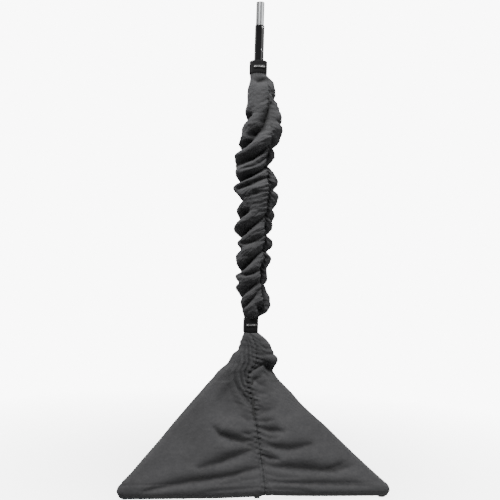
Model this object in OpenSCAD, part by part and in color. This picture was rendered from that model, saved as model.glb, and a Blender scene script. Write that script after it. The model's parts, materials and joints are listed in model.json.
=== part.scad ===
// A lighting stand dressed in a stretch fabric cover.
// Three folding legs carry a column with two telescoping tubes and a round spigot on top.
// The cover is a gathered sleeve over the column and a three-cornered skirt over the legs.
// Millimetres, +Z up, floor at z = 0, origin under the middle of the stand's outer box.

/* [Column] */
// Radius of the spigot, which is the outside of the top tube
spigot_r = 15; // [12.5:0.5:18]
// Length of the spigot that stands out of the middle tube
spigot_length = 86; // [60:1:110]
// Wall of the top tube
top_tube_wall = 2; // [1.5:0.1:2.5]
// Room between the top tube and the inside of the middle tube
middle_room = 1; // [0.8:0.1:1.5]
// Wall of the middle tube
middle_tube_wall = 1.5; // [1.2:0.1:2]
// Room between the middle tube and the inside of the lowest tube
outer_room = 0.7; // [0.6:0.1:1]
// Wall of the lowest tube
outer_tube_wall = 1.8; // [1.5:0.1:2.5]
// Height of the lowest tube's bottom end
outer_tube_bottom = 46; // [36:1:56]
// Height of the lowest tube's top end
outer_tube_top = 1000; // [940:5:1040]
// Height of the middle tube's bottom end
middle_tube_bottom = 850; // [800:5:880]
// Height of the top face of the middle tube's end collar
middle_top = 1656; // [1600:2:2000]
// Height of the top tube's bottom end
top_tube_bottom = 1400; // [1360:5:1450]

/* [Legs] */
// Wall of the leg hub and of the slider round the column
hub_wall = 5; // [4:0.5:7]
// Length of a leg from its hinge pin to the middle of its foot
leg_length = 585; // [480:2.5:710]
// Angle between an open leg and the column
leg_open = 51.5; // [46:0.5:54]
// Angle between a folded leg and the column
leg_folded = 5; // [4:0.5:8]
// Outside radius of a leg tube
leg_tube_r = 12.5; // [10:0.5:15]
// Wall of a leg tube
leg_tube_wall = 1.5; // [1:0.1:2]
// Length of a brace, which is also how far down the leg it is pinned
brace_length = 160; // [140:2:170]
// Radius of the round rubber foot
foot_r = 21; // [17:0.1:26]
// Radius of the hinge pins
pin_r = 3; // [2.5:0.1:3.5]

/* [Clamps] */
// Height of the clamp screw on the column
clamp_z = 1022; // [1016:1:1026]
// Radius of the clamp screws
screw_r = 4; // [3:0.25:4.5]
// Thread pitch of the clamp screws
screw_pitch = 1.25; // [1:0.25:1.5]
// Radius of the clamp knobs
knob_r = 14; // [12:0.5:15]

/* [Snap button] */
// Radius of the snap button
button_r = 3.6; // [3:0.1:4]
// Distance between the button holes in the middle tube
hole_pitch = 82; // [70:1:90]
// Number of button holes in the middle tube
hole_count = 2; // [1:1:3]
// Azimuth of the button and its holes
button_azimuth = 300; // [280:1:320]

/* [Cover] */
// Thickness of the cover's panels
cloth = 2.5; // [2:0.1:3]
// Height of the skirt's hem above the floor
hem_z = 6; // [5:0.5:10]
// Height of the lower edge of the neck strap
neck_bottom = 527; // [515:1:540]
// Height of the upper edge of the neck strap
neck_top = 580; // [570:1:590]
// Outside radius of the neck strap
neck_strap_r = 28; // [27.6:0.1:32]
// Height of the lower edge of the top strap
top_strap_bottom = 1475; // [1460:1:1480]
// Height of the upper edge of the top strap
top_strap_top = 1519; // [1505:1:1530]
// Outside radius of the top strap
top_strap_r = 33; // [32:0.5:36]
// How far each gore's shoulder stands above the legs' pivots: back, left, right
shoulder_rise = [18, 45, -11]; // [-20:1:50]
// Distance of each gore's shoulder from the column: back, left, right
shoulder_r = [104, 98, 104]; // [90:1:112]

/* [Hidden] */
$fn = 72;

// Clearances
fixed_gap = 0.03;          // between pieces that are pressed or riveted together
running_gap = 0.06;        // between pieces that turn or slide on each other
soft_gap = 0.5;            // between the cover and what moves beside it
past = 1;                  // how far a cut runs past the face it opens

// Column
top_tube_bore = spigot_r - top_tube_wall;
middle_tube_bore = spigot_r + middle_room;
middle_tube_r = middle_tube_bore + middle_tube_wall;
outer_tube_bore = middle_tube_r + outer_room;
outer_tube_r = outer_tube_bore + outer_tube_wall;
spigot_top = middle_top + spigot_length;
bush_collar_h = 4;
middle_tube_top = middle_top - bush_collar_h;
button_z = middle_top - 9;

// Legs
leg_azimuth = [90, 210, 330];
hub_r = outer_tube_r + hub_wall;
pivot_r = hub_r + leg_tube_r + 0.5;    // radius of the ring on which the legs are hinged
pocket_wall = 3;
pocket_r = foot_r + pocket_wall;
pocket_flat = 0.7;         // how much of the pocket's ball the floor flattens
pocket_mouth = 10;         // from the middle of the foot up to the pocket's open edge
foot_z = pocket_r - pocket_flat;
pivot_z = foot_z + leg_length * cos(leg_open);
reach = pivot_r + leg_length * sin(leg_open);
slider_z = pivot_z - 2 * brace_length * cos(leg_open);
skirt_corner_r = pocket_r + soft_gap + cloth;
column_y = -reach / 4;     // puts the three corners' box on the origin

// Hub, slider and clamps
hub_half_h = 21;
knuckle_w = 2 * leg_tube_r;
lug_gap = knuckle_w + 0.6;
lug_t = 5;
lug_r = 11;
tongue_r = 9;
slider_half_h = 22;
spigot_start = leg_tube_r + 1.5;   // where the leg tube begins below its hinge pin
plug_depth = 42;
brace_t = 2.5;
brace_gap = knuckle_w / 2 + 0.6;
collar_r = outer_tube_r + 7;
collar_bottom = outer_tube_top - 25;
collar_top = outer_tube_top + 45;
collar_lip_h = 4;
pad_r = screw_r + 0.95;
pad_l = 3.4;
pad_travel = 2;            // room behind a clamp pad for one turn of its screw
boss_r = 9;
boss_l = 9;
knob_l = 14.5;
knob_grip_l = 9;
knob_cuts = 6;
clamp_contact = middle_tube_r + 0.1;
slider_contact = outer_tube_r + 0.1;

// Cover
strap_t = 2.3;
label_t = 0.6;
seam_azimuth = [30, 150, 270];
tape_w = 9;
tape_t = 1.2;
neck_r = max(neck_strap_r - 2, outer_tube_r + cloth + tape_t + soft_gap);
sleeve_wall = 3;
sleeve_profile = [         // height and radius of the gathered sleeve, neck to top
    [neck_top + 1, 27], [616, 46], [700, 53], [790, 54], [880, 58], [962, 74],
    [1080, 75], [1160, 66], [1240, 70], [1320, 62], [1395, 48], [1440, 41],
    [top_strap_bottom - 1, 32]
];

// Frames: +X runs out from the column, +Z up
module at_column() {
    translate([0, column_y, 0]) children();
}
module facing(azimuth) {
    at_column() rotate([0, 0, azimuth]) children();
}
// +Z runs down the leg from its hinge pin to its foot
module along_leg(i) {
    facing(leg_azimuth[i]) translate([pivot_r, 0, pivot_z])
        rotate([0, 180 - leg_open, 0]) children();
}
// +Z runs down the brace from the leg to the slider
module along_brace(i) {
    facing(leg_azimuth[i])
        translate([pivot_r + brace_length * sin(leg_open), 0, pivot_z - brace_length * cos(leg_open)])
            rotate([0, leg_open - 180, 0]) children();
}

// Shared shapes
module ring(r_in, r_out, z0, z1) {
    translate([0, 0, z0]) difference() {
        cylinder(r = r_out, h = z1 - z0);
        translate([0, 0, -past]) cylinder(r = r_in, h = z1 - z0 + 2 * past);
    }
}
// A bar along +X
module bar_x(r, x0, x1) {
    translate([x0, 0, 0]) rotate([0, 90, 0]) cylinder(r = r, h = x1 - x0);
}
// A bar along Y, centred
module bar_y(r, l) {
    rotate([90, 0, 0]) cylinder(r = r, h = l, center = true);
}
// A domed rivet head: its flat side at x = 0, its dome towards +X
module rivet_head(r, h) {
    rotate([0, 90, 0]) intersection() {
        translate([0, 0, h - r * 1.25]) sphere(r = r * 1.25);
        cylinder(r = r, h = h);
    }
}
// A pin through two walls with a flat head at each end
module headed_pin(r, half_l) {
    bar_y(r, 2 * half_l);
    for (s = [-1, 1]) translate([0, s * (half_l + 1), 0]) bar_y(r + 2, 2);
}
// A band round the column that covers part of the circle
module band(r_in, r_out, z0, z1, azimuth, sweep) {
    at_column() rotate([0, 0, azimuth - sweep / 2]) rotate_extrude(angle = sweep)
        translate([r_in, z0]) square([r_out - r_in, z1 - z0]);
}

// Clamp pieces, all along +X
module pad_shape(contact) {
    bar_x(pad_r, contact, contact + pad_l);
}
module screw_shape(contact) {
    bar_x(screw_r, contact + pad_l + 0.02, contact + pad_l + 2 + boss_l + 1.5 + knob_grip_l);
}
module knob_shape(contact) {
    face = contact + pad_l + 2 + boss_l + 1.5;
    difference() {
        bar_x(knob_r, face, face + knob_l);
        for (k = [0:knob_cuts - 1]) rotate([k * 360 / knob_cuts, 0, 0])
            translate([0, 0, knob_r + 2]) bar_x(4, face + 3, face + knob_l + past);
        bar_x(screw_r + fixed_gap, face - past, face + knob_grip_l + 0.5);
    }
}
module boss_shape(contact) {
    bar_x(boss_r, contact, contact + pad_l + 2 + boss_l);
}
module boss_cut(contact) {
    bar_x(pad_r + running_gap, contact - 4, contact + pad_l + pad_travel);
    bar_x(screw_r + running_gap, contact, contact + pad_l + 2 + boss_l + past);
}

// Column
module outer_tube() {
    color("silver") at_column() difference() {
        ring(outer_tube_bore, outer_tube_r, outer_tube_bottom, outer_tube_top);
        rivet_holes(hub_azimuths(), hub_rivet_z());
        rivet_holes(collar_azimuths(), collar_rivet_z());
    }
}
function hub_azimuths() = seam_azimuth;
function hub_rivet_z() = pivot_z;
function collar_azimuths() = [90, 270];
function collar_rivet_z() = (collar_bottom + outer_tube_top) / 2;
rivet_r = 2.5;
module rivet_holes(azimuths, z) {
    for (a = azimuths) rotate([0, 0, a]) translate([0, 0, z])
        bar_x(rivet_r + fixed_gap, outer_tube_bore - past, collar_r + past);
}
module wall_rivets(azimuths, z, r_out) {
    for (a = azimuths) facing(a) translate([0, 0, z]) {
        bar_x(rivet_r, outer_tube_bore + 0.1, r_out);
        translate([r_out + 0.02, 0, 0]) rivet_head(rivet_r + 2, 2);
    }
}
module tube_end_plug() {
    color("black") at_column() {
        ring(8, outer_tube_r, outer_tube_bottom - 4, outer_tube_bottom - 0.02);
        ring(8, outer_tube_bore - fixed_gap, outer_tube_bottom - 0.02, outer_tube_bottom + 18);
    }
}
module hinge_lugs(i, r, gap, t) {
    rotate([0, 0, leg_azimuth[i]]) for (s = [-1, 1])
        translate([0, s * (gap + t) / 2, pivot_z]) {
            translate([pivot_r, 0, 0]) bar_y(r, t);
            translate([(pivot_r + hub_r - 9) / 2, 0, 0])
                cube([pivot_r - hub_r + 9, t, 2 * r], center = true);
        }
}
module leg_hub() {
    color([0.08, 0.08, 0.09]) at_column() difference() {
        union() {
            cylinder_at(hub_r, pivot_z - hub_half_h, pivot_z + hub_half_h);
            for (i = [0:2]) hinge_lugs(i, lug_r, lug_gap, lug_t);
        }
        cylinder_at(outer_tube_r + fixed_gap, pivot_z - 2 * hub_half_h, pivot_z + 2 * hub_half_h);
        for (i = [0:2]) rotate([0, 0, leg_azimuth[i]]) translate([pivot_r, 0, pivot_z])
            bar_y(pin_r + fixed_gap, 4 * lug_gap);
        rivet_holes(hub_azimuths(), hub_rivet_z());
    }
}
module cylinder_at(r, z0, z1) {
    translate([0, 0, z0]) cylinder(r = r, h = z1 - z0);
}
module hub_rivets() {
    color("silver") wall_rivets(hub_azimuths(), hub_rivet_z(), hub_r);
}
module leg_pins() {
    color("silver") for (i = [0:2]) facing(leg_azimuth[i])
        translate([pivot_r, 0, pivot_z]) headed_pin(pin_r, lug_gap / 2 + lug_t + 0.02);
}
module clamp_collar() {
    color([0.08, 0.08, 0.09]) at_column() difference() {
        union() {
            cylinder_at(collar_r, collar_bottom, collar_top);
            translate([0, 0, clamp_z]) boss_shape(clamp_contact);
        }
        cylinder_at(outer_tube_r + fixed_gap, collar_bottom - past, outer_tube_top);
        cylinder_at(outer_tube_r - 0.45, outer_tube_top - past, collar_top - collar_lip_h);
        cylinder_at(middle_tube_r + 0.4, outer_tube_top, collar_top + past);
        translate([0, 0, clamp_z]) boss_cut(clamp_contact);
        rivet_holes(collar_azimuths(), collar_rivet_z());
    }
}
module clamp_bush() {
    color("white") at_column() difference() {
        ring(middle_tube_r + running_gap, outer_tube_r - 0.5, outer_tube_top + 0.3,
            collar_top - collar_lip_h - 0.3);
        translate([0, 0, clamp_z])
            bar_x(pad_r + running_gap, clamp_contact - 4, collar_r);
    }
}
module collar_rivets() {
    color("silver") wall_rivets(collar_azimuths(), collar_rivet_z(), collar_r);
}
module clamp_pad() {
    color("white") at_column() translate([0, 0, clamp_z]) pad_shape(clamp_contact);
}
module clamp_screw() {
    color("silver") at_column() translate([0, 0, clamp_z]) screw_shape(clamp_contact);
}
module clamp_knob() {
    color("black") at_column() translate([0, 0, clamp_z]) knob_shape(clamp_contact);
}

// Middle tube
module button_hole(r, z, r_from, r_to) {
    rotate([0, 0, button_azimuth]) translate([0, 0, z]) bar_x(r, r_from, r_to);
}
module middle_tube() {
    color([0.04, 0.04, 0.04]) at_column() difference() {
        ring(middle_tube_bore, middle_tube_r, middle_tube_bottom, middle_tube_top);
        for (k = [0:hole_count - 1])
            button_hole(button_r + 0.25, button_z - k * hole_pitch, middle_tube_bore - 2,
                middle_tube_r + past);
    }
}
module middle_tube_glide() {
    color("white") at_column() {
        ring(8, outer_tube_bore - running_gap, middle_tube_bottom - 12, middle_tube_bottom - 0.02);
        ring(8, middle_tube_bore - fixed_gap, middle_tube_bottom - 0.02, middle_tube_bottom + 20);
    }
}
module top_bush() {
    round_r = 1.2;
    bore = spigot_r + running_gap;
    color([0.04, 0.04, 0.04]) at_column() difference() {
        rotate_extrude() union() {
            translate([bore, middle_tube_top + 0.02])
                square([middle_tube_r - bore, bush_collar_h - round_r - 0.02]);
            translate([bore, middle_top - round_r - 0.01])
                square([middle_tube_r - round_r - bore, round_r + 0.01]);
            translate([middle_tube_r - round_r, middle_top - round_r]) circle(r = round_r);
            translate([bore, middle_tube_top - 27])
                square([middle_tube_bore - fixed_gap - bore, 27.02]);
        }
        button_hole(button_r + 0.35, button_z, spigot_r - 2, middle_tube_bore);
    }
}
module top_cuff() {
    color([0.2, 0.2, 0.21]) at_column()
        ring(middle_tube_r + fixed_gap, top_strap_r - strap_t - 0.05,
            top_strap_bottom + 1, top_strap_top - 1);
}
module top_strap() {
    color([0.05, 0.05, 0.05]) union() {
        at_column() ring(top_strap_r - strap_t, top_strap_r, top_strap_bottom, top_strap_top);
        band(top_strap_r - 0.2, top_strap_r + 1.4, top_strap_bottom + 1, top_strap_top - 1, 172, 46);
    }
}
module top_label() {
    color("lightgray") band(top_strap_r + 0.02, top_strap_r + label_t,
        (top_strap_bottom + top_strap_top) / 2 - 4, (top_strap_bottom + top_strap_top) / 2 + 4, 263, 96);
}

// Top tube
module top_tube() {
    color("silver") at_column() difference() {
        ring(top_tube_bore, spigot_r, top_tube_bottom, spigot_top);
        ring(spigot_r - 0.25, spigot_r + past, middle_top + 1, middle_top + 2);
        button_hole(button_r + 0.15, button_z, 0, spigot_r + past);
    }
}
module top_tube_glide() {
    color("white") at_column() {
        ring(6, middle_tube_bore - running_gap, top_tube_bottom - 10, top_tube_bottom - 0.02);
        ring(6, top_tube_bore - fixed_gap, top_tube_bottom - 0.02, top_tube_bottom + 16);
    }
}
module spigot_plug() {
    color("black") at_column() difference() {
        cylinder_at(top_tube_bore - fixed_gap, spigot_top - 20, spigot_top - 0.5);
        cylinder_at(top_tube_bore - 3, spigot_top - 21, spigot_top - 4);
    }
}
module snap_spring() {
    arm_top = button_z + 5;
    bend_z = button_z - 57;
    arm_x = top_tube_bore - 2.1;
    color("silver") facing(button_azimuth) rotate([90, 0, 0])
        linear_extrude(height = 8, center = true) polygon([
            [-arm_x - 1.2, arm_top], [-arm_x - 0.6, arm_top], [-0.5, bend_z + 0.8], [0.5, bend_z + 0.8],
            [arm_x - 0.6, arm_top], [arm_x, arm_top], [1.3, bend_z], [-1.3, bend_z]
        ]);
}
module snap_button() {
    flat_x = middle_tube_r + 0.3;
    color("silver") facing(button_azimuth) translate([0, 0, button_z]) {
        bar_x(button_r, top_tube_bore - 2, flat_x);
        translate([flat_x, 0, 0]) rivet_head(button_r, 1.1);
    }
}

// Legs
module leg_tube(i) {
    color("silver") along_leg(i) difference() {
        ring(leg_tube_r - leg_tube_wall, leg_tube_r, spigot_start, leg_length - foot_r / 2);
        translate([0, 0, brace_length]) bar_y(pin_r + fixed_gap, 3 * leg_tube_r);
    }
}
module leg_knuckle(i) {
    color([0.08, 0.08, 0.09]) along_leg(i) difference() {
        union() {
            bar_y(leg_tube_r, knuckle_w);
            cylinder(r = leg_tube_r, h = spigot_start - 0.02);
            cylinder(r = leg_tube_r - leg_tube_wall - fixed_gap, h = spigot_start + plug_depth);
        }
        bar_y(pin_r + running_gap, knuckle_w + 2 * past);
        for (s = [-1, 1]) translate([0, s * knuckle_w, 0])
            cube([4 * leg_tube_r, knuckle_w, 2.9 * leg_tube_r], center = true);
    }
}
module leg_foot(i) {
    tube_end = leg_length - foot_r / 2;
    color([0.06, 0.06, 0.06]) along_leg(i) difference() {
        union() {
            translate([0, 0, leg_length]) sphere(r = foot_r);
            translate([0, 0, tube_end - 34])
                cylinder(r = leg_tube_r - leg_tube_wall - fixed_gap, h = 40);
        }
        ring(leg_tube_r - leg_tube_wall - 0.05, leg_tube_r + fixed_gap, tube_end - 20, tube_end + 0.1);
    }
}
module foot_pocket(i) {
    color([0.2, 0.2, 0.21]) intersection() {
        along_leg(i) difference() {
            translate([0, 0, leg_length]) sphere(r = pocket_r);
            translate([0, 0, leg_length]) sphere(r = foot_r + fixed_gap);
            translate([0, 0, leg_length - pocket_mouth - 40]) cylinder(r = 2 * pocket_r, h = 40);
        }
        translate([0, 0, 250]) cube([1200, 1200, 500], center = true);
    }
}
module brace_rivet(i) {
    color("silver") along_leg(i) translate([0, 0, brace_length])
        headed_pin(pin_r, brace_gap + brace_t + 0.1);
}
module brace(i) {
    color("silver") along_brace(i) for (s = [-1, 1])
        translate([0, s * (brace_gap + brace_t / 2), 0]) difference() {
            union() {
                bar_y(tongue_r, brace_t);
                translate([0, 0, brace_length]) bar_y(tongue_r, brace_t);
                translate([0, 0, brace_length / 2])
                    cube([2 * tongue_r - 4, brace_t, brace_length], center = true);
            }
            bar_y(pin_r + running_gap, 4 * brace_t);
            translate([0, 0, brace_length]) bar_y(pin_r + running_gap, 4 * brace_t);
        }
}

// Slider
module brace_slider() {
    color([0.08, 0.08, 0.09]) at_column() difference() {
        union() {
            cylinder_at(hub_r, slider_z - slider_half_h, slider_z + slider_half_h);
            for (i = [0:2]) rotate([0, 0, leg_azimuth[i]]) translate([0, 0, slider_z]) {
                translate([pivot_r, 0, 0]) bar_y(tongue_r, knuckle_w);
                translate([(pivot_r + hub_r - 9) / 2, 0, 0])
                    cube([pivot_r - hub_r + 9, knuckle_w, 2 * tongue_r], center = true);
            }
            rotate([0, 0, 270]) translate([0, 0, slider_z]) boss_shape(slider_contact);
        }
        cylinder_at(outer_tube_r + running_gap, slider_z - 2 * slider_half_h,
            slider_z + 2 * slider_half_h);
        for (i = [0:2]) rotate([0, 0, leg_azimuth[i]]) translate([pivot_r, 0, slider_z])
            bar_y(pin_r + fixed_gap, 2 * knuckle_w);
        rotate([0, 0, 270]) translate([0, 0, slider_z]) boss_cut(slider_contact);
    }
}
module slider_pins() {
    color("silver") for (i = [0:2]) facing(leg_azimuth[i])
        translate([pivot_r, 0, slider_z]) headed_pin(pin_r, brace_gap + brace_t + 0.1);
}
module slider_pad() {
    color("white") facing(270) translate([0, 0, slider_z]) pad_shape(slider_contact);
}
module slider_screw() {
    color("silver") facing(270) translate([0, 0, slider_z]) screw_shape(slider_contact);
}
module slider_knob() {
    color("black") facing(270) translate([0, 0, slider_z]) knob_shape(slider_contact);
}

// Skirt: at each height it is a triangle with round corners, one over each leg
corner_mid_r = 20;
skirt_top = neck_bottom - 0.5;
shoulder_z = [for (rise = shoulder_rise) pivot_z + rise];
pocket_top = foot_z + pocket_r;
shoulder_span = skirt_top - max(shoulder_z);
skirt_levels = concat([hem_z, foot_z], [for (k = [1:4]) foot_z + k * pocket_r / 4],
    [pocket_top + 8, pocket_top + 20], [for (k = [1:5]) mix(pocket_top + 20, min(shoulder_z) - 6, k / 5)],
    [min(shoulder_z), shoulder_z[0], max(shoulder_z)],
    [for (t = [0.4, 0.72, 1]) max(shoulder_z) + t * shoulder_span]);
function mix(a, b, t) = a + (b - a) * min(1, max(0, t));
// Radius of the corner circle at height z
function corner_r(z) =
    z < pocket_top ? skirt_corner_r :
    z < shoulder_z[2] ? mix(skirt_corner_r, corner_mid_r, (z - pocket_top) / 50) :
    mix(corner_mid_r, neck_r - 2, (z - shoulder_z[2]) / (skirt_top - shoulder_z[2]));
// How far the skirt stands out past the foot to go round its pocket
function over_pocket(z) =
    let (h = z - foot_z, r = pocket_r + soft_gap)
    h < 0 ? r : h < r ? sqrt(r * r - h * h) : 0;
// Distance from the column to the outside of corner i at height z
function corner_reach(i, z) =
    z < shoulder_z[i] ?
        max(shoulder_r[i] + (shoulder_z[i] - max(z, foot_z)) * (reach + skirt_corner_r - shoulder_r[i])
            / (shoulder_z[i] - foot_z),
            z < pocket_top + 1 ? reach + over_pocket(z) + cloth + 1.5 : 0) :
    mix(shoulder_r[i], neck_r, (z - shoulder_z[i]) / (skirt_top - shoulder_z[i]));
function corner_point(i, z) =
    (corner_reach(i, z) - corner_r(z)) * [cos(leg_azimuth[i]), sin(leg_azimuth[i])];
// Where a ray at azimuth a from the column meets a circle of radius c centred at p
function ray_to_circle(a, p, c) =
    let (u = [cos(a), sin(a)], along = u * p, across = p * p - along * along)
    along + sqrt(max(0, c * c - across));
// Where it meets the panel stretched from corner i to the next corner
function ray_to_panel(a, i, z, c) =
    let (p = corner_point(i, z), q = corner_point((i + 1) % 3, z), side = norm(q - p),
        e = (q - p) / side, out = [e[1], -e[0]], u = [cos(a), sin(a)],
        r = (p * out + c) / (u * out), s = (r * u - p) * e)
    s < 0 ? ray_to_circle(a, p, c) :
    s > side ? ray_to_circle(a, q, c) : r;
// Radius of the skirt at azimuth a, with its surface moved in by inset
function skirt_r(a, z, inset) =
    let (turn = (a - leg_azimuth[0] + 360) % 360, i = floor(turn / 120))
    ray_to_panel(a, i, z, corner_r(z) - inset);
function skirt_point(a, z, inset) =
    let (r = skirt_r(a, z, inset)) [r * cos(a), r * sin(a), z];
// A closed shell over a list of rising azimuths, from inset_out to inset_in
module skirt_shell(azimuths, inset_out, inset_in) {
    rows = len(skirt_levels);
    cols = len(azimuths);
    steps = cols - 1;
    points = [for (inset = [inset_out, inset_in], z = skirt_levels, a = azimuths)
        skirt_point(a, z, inset)];
    half = rows * cols;
    faces = concat(
        [for (j = [0:rows - 2], k = [0:steps - 1], t = [0, 1]) let (n = j * cols + k)
            t == 0 ? [n, n + cols, n + 1] : [n + 1, n + cols, n + cols + 1]],
        [for (j = [0:rows - 2], k = [0:steps - 1], t = [0, 1]) let (n = half + j * cols + k)
            t == 0 ? [n, n + 1, n + cols] : [n + 1, n + cols + 1, n + cols]],
        [for (k = [0:steps - 1]) [k, k + 1, half + k + 1, half + k]],
        [for (k = [0:steps - 1]) let (n = (rows - 1) * cols + k)
            [n, half + n, half + n + 1, n + 1]],
        [for (j = [0:rows - 2]) let (n = j * cols) [n, half + n, half + n + cols, n + cols]],
        [for (j = [0:rows - 2]) let (n = j * cols + steps)
            [n, n + cols, half + n + cols, half + n]]
    );
    at_column() polyhedron(points = points, faces = faces);
}
// Azimuths across one gore, closer together over the leg where the cloth turns its corner
gore_steps = 14;
gore_half_angle = 59.8;
function gore_azimuth(i, k) =
    leg_azimuth[i] + gore_half_angle * sign(k) * pow(abs(k) / gore_steps, 2.6);
module skirt_gore(i) {
    color([0.33, 0.33, 0.34])
        skirt_shell([for (k = [-gore_steps:gore_steps]) gore_azimuth(i, k)], 0, cloth);
}
module seam_tape(i) {
    half_angle = tape_w / 5;
    color([0.1, 0.1, 0.1])
        skirt_shell([for (k = [-1:1]) seam_azimuth[i] + k * half_angle],
            cloth + 0.1, cloth + 0.1 + tape_t);
}

// Neck and sleeve
module neck_cuff() {
    color([0.2, 0.2, 0.21]) at_column()
        ring(outer_tube_r + fixed_gap, neck_strap_r - strap_t - 0.05, neck_bottom + 1, neck_top - 1);
}
module neck_strap() {
    color([0.05, 0.05, 0.05]) union() {
        at_column() ring(neck_strap_r - strap_t, neck_strap_r, neck_bottom, neck_top);
        band(neck_strap_r - 0.2, neck_strap_r + 1.4, neck_bottom + 1, neck_top - 1, 172, 46);
    }
}
module neck_label() {
    color("lightgray") band(neck_strap_r + 0.02, neck_strap_r + label_t,
        (neck_bottom + neck_top) / 2 - 4, (neck_bottom + neck_top) / 2 + 4, 263, 84);
}
function moved_in(profile, inset) = [for (p = profile) [p[1] - inset, p[0]]];
module sleeve_section(inset_out, inset_in) {
    inner = moved_in(sleeve_profile, inset_in);
    last = len(inner) - 1;
    polygon(concat(moved_in(sleeve_profile, inset_out), [for (k = [0:last]) inner[last - k]]));
}
module sleeve() {
    color([0.33, 0.33, 0.34]) at_column() rotate_extrude() sleeve_section(0, sleeve_wall);
}
module sleeve_tape() {
    color([0.1, 0.1, 0.1]) facing(308) rotate_extrude(angle = 12)
        sleeve_section(sleeve_wall + 0.1, sleeve_wall + 0.1 + tape_t);
}

outer_tube();
tube_end_plug();
leg_hub();
hub_rivets();
leg_pins();
clamp_collar();
clamp_bush();
collar_rivets();
skirt_gore(0);  // skirt_gore_1
skirt_gore(1);  // skirt_gore_2
skirt_gore(2);  // skirt_gore_3
seam_tape(0);  // seam_tape_1
seam_tape(1);  // seam_tape_2
seam_tape(2);  // seam_tape_3
neck_cuff();
neck_strap();
neck_label();
sleeve();
sleeve_tape();
clamp_pad();
clamp_screw();
clamp_knob();
middle_tube();
middle_tube_glide();
top_bush();
top_cuff();
top_strap();
top_label();
top_tube();
top_tube_glide();
spigot_plug();
snap_spring();
snap_button();
leg_tube(0);  // leg_tube_1
leg_tube(1);  // leg_tube_2
leg_tube(2);  // leg_tube_3
leg_knuckle(0);  // leg_knuckle_1
leg_knuckle(1);  // leg_knuckle_2
leg_knuckle(2);  // leg_knuckle_3
leg_foot(0);  // leg_foot_1
leg_foot(1);  // leg_foot_2
leg_foot(2);  // leg_foot_3
foot_pocket(0);  // foot_pocket_1
foot_pocket(1);  // foot_pocket_2
foot_pocket(2);  // foot_pocket_3
brace_rivet(0);  // brace_rivet_1
brace_rivet(1);  // brace_rivet_2
brace_rivet(2);  // brace_rivet_3
brace(0);  // brace_1
brace(1);  // brace_2
brace(2);  // brace_3
brace_slider();
slider_pins();
slider_pad();
slider_screw();
slider_knob();
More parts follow.
